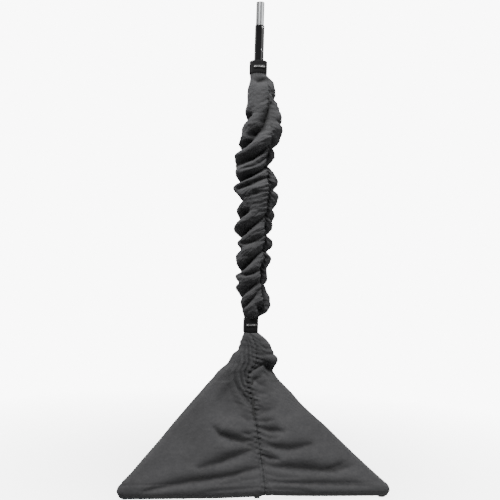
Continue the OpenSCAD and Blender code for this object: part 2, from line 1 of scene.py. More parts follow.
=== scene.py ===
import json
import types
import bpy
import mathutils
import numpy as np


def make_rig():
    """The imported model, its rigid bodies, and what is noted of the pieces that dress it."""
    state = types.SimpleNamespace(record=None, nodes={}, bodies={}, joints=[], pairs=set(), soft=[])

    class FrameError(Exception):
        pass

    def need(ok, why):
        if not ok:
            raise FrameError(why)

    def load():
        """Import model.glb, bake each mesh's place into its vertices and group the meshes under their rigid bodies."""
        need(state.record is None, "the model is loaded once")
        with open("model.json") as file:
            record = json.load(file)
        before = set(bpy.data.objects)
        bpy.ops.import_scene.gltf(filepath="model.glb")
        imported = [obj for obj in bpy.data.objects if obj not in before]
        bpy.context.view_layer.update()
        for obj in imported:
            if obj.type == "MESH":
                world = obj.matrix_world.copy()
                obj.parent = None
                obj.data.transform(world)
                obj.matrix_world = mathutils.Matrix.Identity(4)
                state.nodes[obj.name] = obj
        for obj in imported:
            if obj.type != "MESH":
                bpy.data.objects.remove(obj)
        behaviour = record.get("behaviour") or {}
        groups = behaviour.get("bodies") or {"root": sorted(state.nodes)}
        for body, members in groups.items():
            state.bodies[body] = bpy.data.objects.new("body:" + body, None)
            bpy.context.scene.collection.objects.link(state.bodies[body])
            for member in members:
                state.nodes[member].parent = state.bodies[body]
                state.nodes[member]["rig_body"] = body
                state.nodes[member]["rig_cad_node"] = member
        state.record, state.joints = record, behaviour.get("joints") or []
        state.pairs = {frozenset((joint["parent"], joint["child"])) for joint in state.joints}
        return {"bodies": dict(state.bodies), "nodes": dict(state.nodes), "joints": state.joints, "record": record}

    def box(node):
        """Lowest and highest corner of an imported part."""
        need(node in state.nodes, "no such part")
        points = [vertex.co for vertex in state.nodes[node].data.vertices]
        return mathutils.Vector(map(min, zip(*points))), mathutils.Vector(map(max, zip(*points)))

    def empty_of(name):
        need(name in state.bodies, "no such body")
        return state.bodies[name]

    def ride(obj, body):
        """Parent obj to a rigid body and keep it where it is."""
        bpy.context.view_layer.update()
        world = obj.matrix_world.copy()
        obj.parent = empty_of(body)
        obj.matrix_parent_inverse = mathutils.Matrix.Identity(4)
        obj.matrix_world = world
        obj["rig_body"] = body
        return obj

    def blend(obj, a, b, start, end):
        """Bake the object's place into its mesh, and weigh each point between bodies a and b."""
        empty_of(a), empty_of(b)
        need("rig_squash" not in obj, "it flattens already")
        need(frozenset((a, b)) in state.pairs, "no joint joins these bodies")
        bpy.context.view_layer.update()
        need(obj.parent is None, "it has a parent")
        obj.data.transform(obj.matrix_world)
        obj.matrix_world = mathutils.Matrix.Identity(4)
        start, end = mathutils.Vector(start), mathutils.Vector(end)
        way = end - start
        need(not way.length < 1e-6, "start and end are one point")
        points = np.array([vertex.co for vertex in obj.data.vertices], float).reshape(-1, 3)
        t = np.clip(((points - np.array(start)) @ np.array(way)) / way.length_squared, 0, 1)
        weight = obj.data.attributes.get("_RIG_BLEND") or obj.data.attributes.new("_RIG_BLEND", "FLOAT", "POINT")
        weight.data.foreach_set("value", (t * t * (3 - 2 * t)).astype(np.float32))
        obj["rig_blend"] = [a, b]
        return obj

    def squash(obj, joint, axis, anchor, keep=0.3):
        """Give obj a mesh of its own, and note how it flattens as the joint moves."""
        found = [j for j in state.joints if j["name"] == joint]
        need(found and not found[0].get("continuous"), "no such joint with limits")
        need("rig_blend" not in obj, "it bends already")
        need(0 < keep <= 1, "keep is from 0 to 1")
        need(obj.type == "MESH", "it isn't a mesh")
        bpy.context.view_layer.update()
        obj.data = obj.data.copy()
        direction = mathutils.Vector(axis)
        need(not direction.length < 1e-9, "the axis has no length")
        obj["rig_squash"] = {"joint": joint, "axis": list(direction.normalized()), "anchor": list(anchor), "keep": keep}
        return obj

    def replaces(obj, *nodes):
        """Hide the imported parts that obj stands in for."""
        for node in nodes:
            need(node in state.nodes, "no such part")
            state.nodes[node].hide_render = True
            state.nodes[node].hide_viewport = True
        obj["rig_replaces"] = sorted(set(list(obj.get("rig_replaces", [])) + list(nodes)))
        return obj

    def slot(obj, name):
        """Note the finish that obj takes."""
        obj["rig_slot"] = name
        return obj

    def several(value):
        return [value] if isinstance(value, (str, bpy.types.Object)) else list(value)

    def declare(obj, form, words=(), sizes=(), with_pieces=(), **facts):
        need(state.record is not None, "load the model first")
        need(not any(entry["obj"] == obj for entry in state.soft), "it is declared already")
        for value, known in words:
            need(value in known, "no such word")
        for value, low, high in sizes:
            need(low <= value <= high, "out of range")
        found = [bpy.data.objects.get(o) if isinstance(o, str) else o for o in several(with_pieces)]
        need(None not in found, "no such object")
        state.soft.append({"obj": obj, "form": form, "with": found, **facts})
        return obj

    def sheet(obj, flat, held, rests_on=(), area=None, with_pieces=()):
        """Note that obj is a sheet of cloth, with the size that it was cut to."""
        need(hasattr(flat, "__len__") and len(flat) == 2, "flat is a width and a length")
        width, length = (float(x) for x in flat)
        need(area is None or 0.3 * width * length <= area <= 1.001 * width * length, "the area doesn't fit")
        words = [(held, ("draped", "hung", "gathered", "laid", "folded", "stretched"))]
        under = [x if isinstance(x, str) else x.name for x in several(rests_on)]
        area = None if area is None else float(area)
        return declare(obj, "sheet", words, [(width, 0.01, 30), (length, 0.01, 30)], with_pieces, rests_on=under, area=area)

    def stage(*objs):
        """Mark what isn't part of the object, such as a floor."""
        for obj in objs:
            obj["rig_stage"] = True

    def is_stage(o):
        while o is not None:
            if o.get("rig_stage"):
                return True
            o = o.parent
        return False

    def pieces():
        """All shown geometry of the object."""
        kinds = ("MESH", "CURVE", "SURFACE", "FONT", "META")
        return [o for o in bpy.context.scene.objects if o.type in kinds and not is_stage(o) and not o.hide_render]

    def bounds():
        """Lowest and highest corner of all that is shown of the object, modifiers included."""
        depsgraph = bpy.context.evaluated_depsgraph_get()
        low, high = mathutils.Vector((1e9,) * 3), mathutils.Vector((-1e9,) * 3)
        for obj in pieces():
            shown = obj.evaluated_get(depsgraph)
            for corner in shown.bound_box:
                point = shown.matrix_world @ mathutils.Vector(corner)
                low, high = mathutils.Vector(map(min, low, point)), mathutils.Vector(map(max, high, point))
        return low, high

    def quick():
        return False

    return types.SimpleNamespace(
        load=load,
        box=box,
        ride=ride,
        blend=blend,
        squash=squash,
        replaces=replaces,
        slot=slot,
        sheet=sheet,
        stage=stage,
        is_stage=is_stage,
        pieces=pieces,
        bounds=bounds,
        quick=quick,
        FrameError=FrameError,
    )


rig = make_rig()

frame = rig.load()

import json
import math

import bpy
import numpy as np
from mathutils import Matrix, Vector

cad_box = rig.bounds()

# ---- sizes taken from the frame
tube_low, tube_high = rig.box("outer_tube")
AXIS_X = (tube_low.x + tube_high.x) / 2
AXIS_Y = (tube_low.y + tube_high.y) / 2
NECK_LOW, NECK_HIGH = (c.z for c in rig.box("neck_strap"))
TOP_LOW, TOP_HIGH = (c.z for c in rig.box("top_strap"))
MIDDLE_R = (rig.box("middle_tube")[1].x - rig.box("middle_tube")[0].x) / 2
OUTER_R = (tube_high.x - tube_low.x) / 2
NECK_R = (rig.box("neck_strap")[1].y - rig.box("neck_strap")[0].y) / 2
TOP_R = (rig.box("top_strap")[1].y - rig.box("top_strap")[0].y) / 2
LEG_AZIMUTHS = (90, 210, 330)

CLOTH_T = 0.0012           # thickness of the cover's cloth, and of the goods sewn to it
ELASTIC_T = 0.0008
STRAP_T = 0.0014
LABEL_T = 0.0005
LABEL_HEIGHT = 0.010


# ---- small helpers
def on_column(azimuth, radius, z):
    """Points round the column, azimuth in degrees. Works on numbers and on arrays."""
    a = np.radians(azimuth)
    return np.stack(np.broadcast_arrays(AXIS_X + radius * np.cos(a), AXIS_Y + radius * np.sin(a), z), -1)


def smooth_curve(knots, column, x):
    """A smooth curve through rows of knots, read from one column, at the values x."""
    k = np.array(knots, float)
    k = k[np.argsort(k[:, 0])]
    xs, ys = k[:, 0], k[:, column]
    slope = np.gradient(ys, xs)
    i = np.clip(np.searchsorted(xs, x) - 1, 0, len(xs) - 2)
    h = xs[i + 1] - xs[i]
    t = np.clip((x - xs[i]) / h, 0, 1)
    return ((2 * t**3 - 3 * t**2 + 1) * ys[i] + (t**3 - 2 * t**2 + t) * h * slope[i]
            + (3 * t**2 - 2 * t**3) * ys[i + 1] + (t**3 - t**2) * h * slope[i + 1])


def ripple(x, y, seed, waves=14):
    """Smooth random ripples over the plane, about -1 to 1, the same every run."""
    r = np.random.default_rng(seed)
    total = np.zeros(np.broadcast(x, y).shape)
    for _ in range(waves):
        a = r.uniform(0, 2 * math.pi)
        k = r.uniform(0.5, 1.6)
        total = total + np.sin(k * (x * math.cos(a) + y * math.sin(a)) + r.uniform(0, 6.28))
    return total / math.sqrt(waves)


def falloff(d, width, power=2.0):
    return np.exp(-np.abs(d / width) ** power)


def distance_to_path(x, y, path):
    """Signed distance from points to a polyline (positive above it) and how far along it they are, 0 to 1."""
    p = np.array(path, float)
    seg = np.diff(p, axis=0)
    length = np.hypot(seg[:, 0], seg[:, 1])
    run = np.concatenate([[0], np.cumsum(length)]) / length.sum()
    best = np.full(x.shape, 1e9)
    side = np.ones(x.shape)
    along = np.zeros(x.shape)
    for k in range(len(seg)):
        dx, dy = x - p[k, 0], y - p[k, 1]
        t = np.clip((dx * seg[k, 0] + dy * seg[k, 1]) / length[k]**2, 0, 1)
        ex, ey = dx - t * seg[k, 0], dy - t * seg[k, 1]
        d = np.hypot(ex, ey)
        near = d < best
        best = np.where(near, d, best)
        side = np.where(near, np.where(ey >= 0, 1.0, -1.0), side)
        along = np.where(near, run[k] + t * (run[k + 1] - run[k]), along)
    return best * side, along


def mesh_piece(name, points, faces, uvs=None, slot=None, material=None):
    mesh = bpy.data.meshes.new(name)
    mesh.from_pydata([tuple(p) for p in points], [], [tuple(f) for f in faces])
    if uvs is not None:
        layer = mesh.uv_layers.new(name="cloth")
        corner = np.empty(len(mesh.loops), int)
        mesh.loops.foreach_get("vertex_index", corner)
        layer.data.foreach_set("uv", np.asarray(uvs, np.float32)[corner].ravel())
    mesh.update()
    mesh.shade_smooth()
    piece = bpy.data.objects.new(name, mesh)
    bpy.context.scene.collection.objects.link(piece)
    if material:
        mesh.materials.append(material)
    if slot:
        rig.slot(piece, slot)
    return piece


def grid_faces(rows, cols, closed=False):
    last = cols if closed else cols - 1
    return [(j * cols + k, j * cols + (k + 1) % cols, (j + 1) * cols + (k + 1) % cols, (j + 1) * cols + k)
            for j in range(rows - 1) for k in range(last)]


def paint_fold_shade(piece, values):
    """Stores the painted shade of a cloth's folds as its fold attribute, which the material darkens by: 0 none, 1
    darkest.
    """
    layer = piece.data.attributes.new("fold", "FLOAT", "POINT")
    layer.data.foreach_set("value", np.clip(values, 0, 1).astype(np.float32).ravel())


def thicken(piece, thickness):
    """Gives a sheet its cloth thickness, inwards, and closes its edges."""
    m = piece.modifiers.new("thickness", "SOLIDIFY")
    m.thickness = thickness
    m.offset = -1.0
    m.use_even_offset = False


# ---- shader building
class Tree:
    """Short words for building a node tree."""

    def __init__(self, tree):
        self.tree = tree

    def add(self, kind, settings=None, **inputs):
        node = self.tree.nodes.new("ShaderNode" + kind)
        for key, value in (settings or {}).items():
            setattr(node, key, value)
        for key, value in inputs.items():
            self.put(node.inputs[key.replace("_", " ")], value)
        return node

    def put(self, socket, value):
        if isinstance(value, bpy.types.NodeSocket):
            self.tree.links.new(value, socket)
        else:
            socket.default_value = value

    def math(self, operation, a, b=0.0, clamp=False):
        node = self.tree.nodes.new("ShaderNodeMath")
        node.operation = operation
        node.use_clamp = clamp
        self.put(node.inputs[0], a)
        self.put(node.inputs[1], b)
        return node.outputs[0]

    def times(self, a, b):
        return self.math("MULTIPLY", a, b)

    def plus(self, a, b):
        return self.math("ADD", a, b)

    def mix(self, factor, a, b, blend="MIX"):
        node = self.tree.nodes.new("ShaderNodeMix")
        node.data_type = "RGBA"
        node.blend_type = blend
        self.put(node.inputs["Factor"], factor)
        self.put(node.inputs["A"], a)
        self.put(node.inputs["B"], b)
        return node.outputs["Result"]

    def vector(self, operation, a, b):
        node = self.add("VectorMath", {"operation": operation})
        self.put(node.inputs[0], a)
        self.put(node.inputs["Scale" if operation == "SCALE" else 1], b)
        return node.outputs["Value" if operation == "DOT_PRODUCT" else "Vector"]

    def ramp(self, factor, low, high, out_low=0.0, out_high=1.0):
        node = self.tree.nodes.new("ShaderNodeMapRange")
        node.clamp = True
        for key, value in (("Value", factor), ("From Min", low), ("From Max", high),
                           ("To Min", out_low), ("To Max", out_high)):
            self.put(node.inputs[key], value)
        return node.outputs["Result"]

    def noise(self, vector, scale, detail=3.0, rough=0.55):
        node = self.add("TexNoise", Scale=scale, Detail=detail, Roughness=rough)
        self.put(node.inputs["Vector"], vector)
        return node.outputs["Fac"]


def grey(tone, blue=None):
    """A neutral colour, or one that leans a little to blue or yellow."""
    return (tone, tone, blue or tone, 1)


def new_group(name, inputs, outputs):
    """A node group with named sockets, given as (name, kind, value) and (name, kind)."""
    group = bpy.data.node_groups.new(name, "ShaderNodeTree")
    for label, kind, value in inputs:
        socket = group.interface.new_socket(label, in_out="INPUT", socket_type="NodeSocket" + kind)
        if value is not None:
            socket.default_value = value
    for label, kind in outputs:
        group.interface.new_socket(label, in_out="OUTPUT", socket_type="NodeSocket" + kind)
    tree = Tree(group)
    start = group.nodes.new("NodeGroupInput").outputs
    end = group.nodes.new("NodeGroupOutput").inputs
    return group, tree, start, end


def knit_group():
    """Rows of knitted loops: columns of small slanted stitches."""
    group, t, start, end = new_group(
        "knit rows", [("Vector", "Vector", None), ("Pitch", "Float", 1100.0)],
        [("Loops", "Float"), ("Gaps", "Float")])
    split = t.add("SeparateXYZ", Vector=start["Vector"])
    x = t.times(split.outputs["X"], start["Pitch"])
    y = t.times(split.outputs["Y"], start["Pitch"])
    column = t.math("PINGPONG", x, 1.0)
    slant = t.times(column, 0.75)
    row = t.math("FRACT", t.plus(t.times(y, 0.8), slant))
    loop = t.math("SINE", t.times(row, math.pi))
    rib = t.math("SINE", t.times(column, math.pi))
    body = t.times(loop, t.math("POWER", rib, 0.6))
    t.put(end["Loops"], body)
    t.put(end["Gaps"], t.math("SUBTRACT", 1.0, body, clamp=True))
    return group


def grain_group():
    """Fine moulded or coated surface: a small grain, slow patches and sparse specks."""
    group, t, start, end = new_group(
        "surface grain", [("Vector", "Vector", None), ("Grain", "Float", 900.0), ("Patches", "Float", 14.0)],
        [("Height", "Float"), ("Patch", "Float"), ("Specks", "Float")])
    grain = t.noise(start["Vector"], start["Grain"], 4.0, 0.6)
    patch = t.noise(start["Vector"], start["Patches"], 3.0, 0.5)
    specks = t.noise(start["Vector"], t.times(start["Grain"], 0.45), 1.0, 0.4)
    t.put(end["Height"], grain)
    t.put(end["Patch"], t.ramp(patch, 0.35, 0.65))
    t.put(end["Specks"], t.ramp(specks, 0.70, 0.78))
    return group


def scratch_group():
    """Long fine scratches along one direction, as on drawn tube, with broader bands between them."""
    group, t, start, end = new_group(
        "drawn scratches", [("Vector", "Vector", None), ("Across", "Float", 1400.0), ("Along", "Float", 9.0)],
        [("Scratches", "Float"), ("Bands", "Float")])
    scale = t.add("CombineXYZ", X=start["Across"], Y=start["Across"], Z=start["Along"])
    drawn = t.vector("MULTIPLY", start["Vector"], scale.outputs[0])
    t.put(end["Scratches"], t.noise(drawn, 1.0, 2.0, 0.5))
    t.put(end["Bands"], t.noise(t.vector("SCALE", drawn, 0.12), 1.0, 2.0, 0.5))
    return group


def wear_group():
    """Rubbed edges: where a normal rounded over a millimetre parts from the true one, broken up by noise."""
    group, t, start, end = new_group(
        "edge wear", [("Vector", "Vector", None), ("Radius", "Float", 0.0009), ("Break", "Float", 160.0)],
        [("Wear", "Float")])
    rounded = t.add("Bevel", {"samples": 4}, Radius=start["Radius"]).outputs["Normal"]
    true = t.add("NewGeometry").outputs["True Normal"]
    agree = t.vector("DOT_PRODUCT", rounded, true)
    broken = t.ramp(t.noise(start["Vector"], start["Break"], 4.0, 0.7), 0.35, 0.65, 0.0, 1.0)
    edge = t.ramp(agree, 0.985, 0.90, 0.0, 1.0)
    t.put(end["Wear"], t.times(edge, broken))
    return group


def dust_group():
    """Dust that settles on faces that look up."""
    group, t, start, end = new_group(
        "settled dust", [("Vector", "Vector", None), ("Amount", "Float", 0.3)], [("Dust", "Float")])
    up = t.add("SeparateXYZ", Vector=t.add("NewGeometry").outputs["Normal"]).outputs["Z"]
    lay = t.ramp(up, 0.2, 1.0)
    cloud = t.ramp(t.noise(start["Vector"], 60.0, 5.0, 0.7), 0.4, 0.75)
    t.put(end["Dust"], t.times(t.times(lay, cloud), start["Amount"]))
    return group


KNIT = knit_group()
GRAIN = grain_group()
SCRATCHES = scratch_group()
WEAR = wear_group()
DUST = dust_group()


def new_material(name):
    material = bpy.data.materials.new(name)
    material.use_nodes = True
    tree = material.node_tree
    tree.nodes.clear()
    t = Tree(tree)
    shader = t.add("BsdfPrincipled")
    output = t.add("OutputMaterial")
    tree.links.new(shader.outputs[0], output.inputs[0])
    return material, t, shader.inputs


def dress(t, s, **values):
    """Gives a shader's own sockets their fixed values or their links."""
    for key, value in values.items():
        t.put(s[key.replace("_", " ")], value)


def grouped(t, group, **inputs):
    node = t.tree.nodes.new("ShaderNodeGroup")
    node.node_tree = group
    for key, value in inputs.items():
        t.put(node.inputs[key], value)
    return node.outputs


def bump(t, height, distance, strength=1.0, normal=None):
    node = t.add("Bump", Strength=strength, Distance=distance, Height=height)
    if normal is not None:
        t.put(node.inputs["Normal"], normal)
    return node.outputs["Normal"]


def object_coords(t):
    return t.add("TexCoord").outputs["Object"]


def cloth_coords(t):
    return t.add("UVMap", {"uv_map": "cloth"}).outputs["UV"]


def cloth_material(name, dark, light, pitch=1100.0, depth=0.00035, sheen=0.10, solid=False):
    """Matte stretch knit: loops, slow fading in broad patches, painted shade darkening the folds, lint. A solid one
    needs no cloth coordinates.
    """
    material, t, s = new_material(name)
    uv = object_coords(t) if solid else cloth_coords(t)
    place = object_coords(t)
    knit = grouped(t, KNIT, Vector=uv, Pitch=pitch)
    fade = t.ramp(t.noise(place, 9.0, 4.0, 0.6), 0.3, 0.7)
    fuzz = t.noise(uv, 5200.0, 2.0, 0.7)
    tone = t.mix(t.times(fade, 0.55), dark, light)
    tone = t.mix(t.times(knit["Gaps"], 0.45), tone, [c * 0.45 for c in dark[:3]] + [1])
    # painted shade: the fold attribute mixes the cloth towards near black in its creases, seam channels and pleats
    folds = t.add("Attribute", {"attribute_name": "fold"}).outputs["Fac"]
    tone = t.mix(t.times(folds, 0.88), tone, grey(0.007, 0.0075))
    lint = t.ramp(t.noise(uv, 420.0, 1.0, 0.3), 0.76, 0.80, 0.0, 0.35)
    tone = t.mix(lint, tone, grey(0.32, 0.33))
    dust = grouped(t, DUST, Vector=place, Amount=0.10)
    tone = t.mix(dust["Dust"], tone, (0.30, 0.29, 0.28, 1))
    dress(t, s, Base_Color=tone, Roughness=t.ramp(fuzz, 0.2, 0.8, 0.86, 0.98))
    height = t.plus(t.times(knit["Loops"], 0.7), t.times(fuzz, 0.5))
    weave = bump(t, height, depth)
    slack = t.noise(uv, 70.0, 4.0, 0.6)
    dress(t, s, Normal=bump(t, slack, 0.0022, 0.7, weave),
          Specular_IOR_Level=0.25, Sheen_Weight=sheen, Sheen_Roughness=0.45, Sheen_Tint=(0.75, 0.76, 0.8, 1))
    return material


def hook_tape_material(name):
    """Brushed hook-and-loop tape: a dense mat of loops."""
    material, t, s = new_material(name)
    uv = object_coords(t)
    mat = t.noise(uv, 2600.0, 3.0, 0.75)
    clumps = t.noise(uv, 330.0, 4.0, 0.65)
    tone = t.mix(t.ramp(mat, 0.35, 0.75), grey(0.003, 0.0034), grey(0.016, 0.0165))
    tone = t.mix(t.ramp(clumps, 0.62, 0.72, 0.0, 0.3), tone, grey(0.028, 0.029))
    dress(t, s, Base_Color=tone, Roughness=t.ramp(clumps, 0.3, 0.7, 0.82, 0.97),
          Normal=bump(t, t.plus(mat, clumps), 0.0006),
          Sheen_Weight=0.06, Sheen_Roughness=0.5, Specular_IOR_Level=0.15)
    return material


def label_material(name):
    """Woven ribbon: black ground with a row of pale woven blocks of mixed length, and no words."""
    material, t, s = new_material(name)
    uv = cloth_coords(t)
    split = t.add("SeparateXYZ", Vector=uv)
    across = t.times(split.outputs["X"], 330.0)
    pick = t.add("TexWhiteNoise", {"noise_dimensions": "1D"}, W=t.math("FLOOR", across)).outputs["Value"]
    block = t.math("LESS_THAN", t.math("FRACT", across), t.ramp(pick, 0.0, 1.0, 0.30, 0.75))
    level = t.math("ABSOLUTE", split.outputs["Y"])
    tall = t.math("LESS_THAN", level, t.ramp(pick, 0.0, 1.0, 0.0014, 0.0026))
    within = t.math("LESS_THAN", t.math("ABSOLUTE", split.outputs["X"]), 0.0225)
    mark = t.times(t.times(block, tall), within)
    ribs = t.math("SINE", t.times(split.outputs["Y"], 14000.0))
    tone = t.mix(mark, grey(0.010, 0.011), grey(0.62, 0.61))
    tone = t.mix(t.ramp(ribs, -1.0, 1.0, 0.0, 0.15), tone, grey(0.03))
    dress(t, s, Base_Color=tone, Roughness=t.ramp(ribs, -1, 1, 0.55, 0.75),
          Normal=bump(t, t.plus(ribs, mark), 0.0002), Sheen_Weight=0.15)
    return material


def elastic_material(name):
    """Ribbed elastic tape."""
    material, t, s = new_material(name)
    place = object_coords(t)
    z = t.add("SeparateXYZ", Vector=place).outputs["Z"]
    ribs = t.math("SINE", t.times(z, 5200.0))
    fuzz = t.noise(place, 2600.0, 3.0, 0.7)
    dress(t, s, Base_Color=t.mix(t.ramp(ribs, -1, 1), grey(0.010), grey(0.035)),
          Roughness=t.ramp(fuzz, 0.3, 0.7, 0.75, 0.95), Normal=bump(t, t.plus(ribs, fuzz), 0.0004))
    return material


def metal_material(name, tone, rough, scratches):
    """Drawn or plated metal with fine scratches along Z and slow stains."""
    material, t, s = new_material(name)
    place = object_coords(t)
    lines = grouped(t, SCRATCHES, Vector=place)
    grain = grouped(t, GRAIN, Vector=place, Grain=700.0, Patches=22.0)
    dark = [c * 0.72 for c in tone[:3]] + [1]
    colour = t.mix(t.times(grain["Patch"], 0.25), tone, dark)
    colour = t.mix(t.times(t.ramp(lines["Scratches"], 0.62, 0.8), scratches * 0.5), colour, dark)
    dust = grouped(t, DUST, Vector=place, Amount=0.15)
    colour = t.mix(dust["Dust"], colour, (0.45, 0.44, 0.42, 1))
    dress(t, s, Base_Color=colour, Metallic=t.math("SUBTRACT", 1.0, dust["Dust"]))
    base = t.ramp(lines["Bands"], 0.3, 0.7, rough * 0.8, rough * 1.25)
    dress(t, s, Roughness=t.math("ADD", base, t.times(grain["Specks"], 0.15), clamp=True),
          Normal=bump(t, lines["Scratches"], 0.00006, scratches))
    return material


def coated_material(name, tone, rough, grain_size, depth, worn=grey(0.30, 0.31), spec=0.5):
    """Powder coat or moulded plastic: grain, patches of handling, rubbed edges, dust."""
    material, t, s = new_material(name)
    place = object_coords(t)
    grain = grouped(t, GRAIN, Vector=place, Grain=grain_size, Patches=18.0)
    wear = grouped(t, WEAR, Vector=place)
    dust = grouped(t, DUST, Vector=place, Amount=0.18)
    light = [min(1, c * 1.5 + 0.002) for c in tone[:3]] + [1]
    colour = t.mix(t.times(grain["Patch"], 0.5), tone, light)
    colour = t.mix(t.times(wear["Wear"], 0.6), colour, worn)
    colour = t.mix(dust["Dust"], colour, (0.30, 0.29, 0.28, 1))
    dress(t, s, Base_Color=colour, Roughness=t.ramp(grain["Height"], 0.3, 0.7, rough * 0.85, min(1, rough * 1.2)),
          Normal=bump(t, grain["Height"], depth), Specular_IOR_Level=spec)
    return material


def thread_material(name, tone):
    """Twisted sewing thread."""
    material, t, s = new_material(name)
    place = object_coords(t)
    twist = t.noise(place, 2400.0, 2.0, 0.6)
    dress(t, s, Base_Color=t.mix(twist, tone, [c * 0.4 for c in tone[:3]] + [1]),
          Roughness=t.ramp(twist, 0.2, 0.8, 0.6, 0.9), Normal=bump(t, twist, 0.0003))
    return material


def floor_material(name):
    """Pale floor that fades out into the white room a few metres from the stand."""
    material, t, s = new_material(name)
    place = object_coords(t)
    cloud = t.noise(place, 1.3, 3.0, 0.5)
    dress(t, s, Base_Color=t.mix(cloud, grey(0.90), grey(0.93)),
          Roughness=t.ramp(cloud, 0.3, 0.7, 0.8, 0.95))
    away = t.add("VectorMath", {"operation": "LENGTH"}, Vector=place).outputs["Value"]
    dress(t, s, Alpha=t.ramp(away, 0.40, 1.9, 0.55, 0.0), Specular_IOR_Level=0.1)
    return material


CLOTH = cloth_material("charcoal stretch knit", grey(0.052, 0.054), grey(0.082, 0.085))
CLOTH_SOLID = cloth_material("charcoal knit lining", grey(0.045, 0.047), grey(0.072, 0.075), solid=True)
TAPE = hook_tape_material("hook and loop tape")
LABEL = label_material("woven label")
ELASTIC = elastic_material("ribbed elastic")
THREAD = thread_material("dark sewing thread", grey(0.045, 0.048))
ANODISED = metal_material("clear anodised tube", (0.55, 0.56, 0.57, 1), 0.33, 0.25)
ZINC = metal_material("bright zinc", (0.70, 0.71, 0.72, 1), 0.22, 0.25)
SPRING_STEEL = metal_material("brushed spring steel", grey(0.56, 0.57), 0.36, 0.9)
BLACK_COAT = coated_material("black gloss coat", grey(0.0045, 0.005), 0.11, 1500.0, 0.000001,
                             worn=grey(0.008, 0.009))
BLACK_PLASTIC = coated_material("black textured nylon", grey(0.020, 0.021), 0.50, 800.0, 0.0002)
NYLON = coated_material("natural nylon", (0.74, 0.72, 0.67, 1), 0.42, 700.0, 0.0001, worn=(0.55, 0.53, 0.5, 1))
RUBBER = coated_material("black rubber", grey(0.014), 0.78, 500.0, 0.0003, worn=grey(0.05),
                         spec=0.3)

NODE_FINISH = {
    "clear_metal": ANODISED, "steel": ZINC, "spring_steel": SPRING_STEEL, "black_metal": BLACK_COAT,
    "black_plastic": BLACK_PLASTIC, "nylon": NYLON, "foot_rubber": RUBBER, "cover_cloth": CLOTH_SOLID,
    "strap_web": TAPE, "label_weave": LABEL, "elastic": ELASTIC,
}


def dress_nodes():
    """Every CAD node gets the finish of its own material slot."""
    for row in frame["record"]["subparts"]:
        node = frame["nodes"][row["node"]]
        node.data.materials.clear()
        node.data.materials.append(NODE_FINISH[row["material_slot"]])


# ---- camera, floor and light
CAMERA_AZIMUTH = 262.3     # where the camera stands round the column
CAMERA_DISTANCE = 2.8
CAMERA_HEIGHT = 0.767
CAMERA_PITCH = 1.245       # degrees up
CAMERA_TURN = 0.24         # degrees to the left of the column
CAMERA_ROLL = 1.7          # degrees, so that the column leans to the right
LENS = 55.0
ROOM_SEEN = 9.0            # brightness of the room where it is seen directly
ROOM_LOW = 0.10            # and where it only lights things, low down and overhead
ROOM_HIGH = 0.38


def place_camera():
    data = bpy.data.cameras.new("camera")
    data.lens = LENS
    data.sensor_width = 36
    camera = bpy.data.objects.new("camera", data)
    bpy.context.scene.collection.objects.link(camera)
    place = Vector(on_column(CAMERA_AZIMUTH, CAMERA_DISTANCE, CAMERA_HEIGHT))
    heading = math.radians(CAMERA_AZIMUTH + 180 + CAMERA_TURN)
    pitch = math.radians(CAMERA_PITCH)
    forward = Vector((math.cos(heading) * math.cos(pitch), math.sin(heading) * math.cos(pitch), math.sin(pitch)))
    turn = forward.to_track_quat("-Z", "Y").to_matrix().to_4x4()
    camera.matrix_world = Matrix.Translation(place) @ turn @ Matrix.Rotation(math.radians(CAMERA_ROLL), 4, "Z")
    bpy.context.scene.camera = camera


def area_light(name, place, target, size, power, tall=None):
    data = bpy.data.lights.new(name, "AREA")
    data.shape = "RECTANGLE"
    data.size = size
    data.size_y = tall or size
    data.energy = power
    light = bpy.data.objects.new(name, data)
    bpy.context.scene.collection.objects.link(light)
    light.location = place
    light.rotation_euler = (Vector(target) - Vector(place)).to_track_quat("-Z", "Y").to_euler()


def light_room():
    """A white room: bright behind the object, and a dimmer soft light for everything else."""
    world = bpy.data.worlds.new("studio")
    bpy.context.scene.world = world
    world.use_nodes = True
    t = Tree(world.node_tree)
    world.node_tree.nodes.clear()
    seen = t.add("LightPath").outputs["Is Camera Ray"]
    up = t.add("SeparateXYZ", Vector=t.add("TexCoord").outputs["Generated"]).outputs["Z"]
    glow = t.ramp(up, -0.2, 0.9, ROOM_LOW, ROOM_HIGH)
    back = t.add("Background", Color=(1, 1, 1, 1))
    t.put(back.inputs["Strength"], t.ramp(seen, 0.0, 1.0, glow, ROOM_SEEN))
    output = t.add("OutputWorld")
    world.node_tree.links.new(back.outputs[0], output.inputs[0])


def studio():
    floor = mesh_piece("floor", [(-4, -4, 0), (4, -4, 0), (4, 4, 0), (-4, 4, 0)], [(0, 1, 2, 3)],
                       material=floor_material("pale floor"))
    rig.stage(floor)
    light_room()
    middle = (AXIS_X, AXIS_Y, 0.8)
    area_light("key", (-0.8, AXIS_Y - 1.5, 3.5), middle, 1.0, 175)
    area_light("fill", (2.5, AXIS_Y - 1.2, 1.8), middle, 2.4, 44, 2.6)
    area_light("left rim", (-2.4, AXIS_Y + 1.0, 1.4), middle, 0.8, 16, 2.2)


# ---- the gathered sleeve
VIEW_RIGHT = CAMERA_AZIMUTH + 90      # azimuth of the sleeve's right-hand outline
SLEEVE_SEAM = 305                     # azimuth of its gathered seam
SLEEVE_LOW = NECK_HIGH + 0.0008
SLEEVE_MEAN_R = 62                    # mm, the radius at which its creases are laid out round it
SLEEVE_HIGH = TOP_LOW - 0.0006
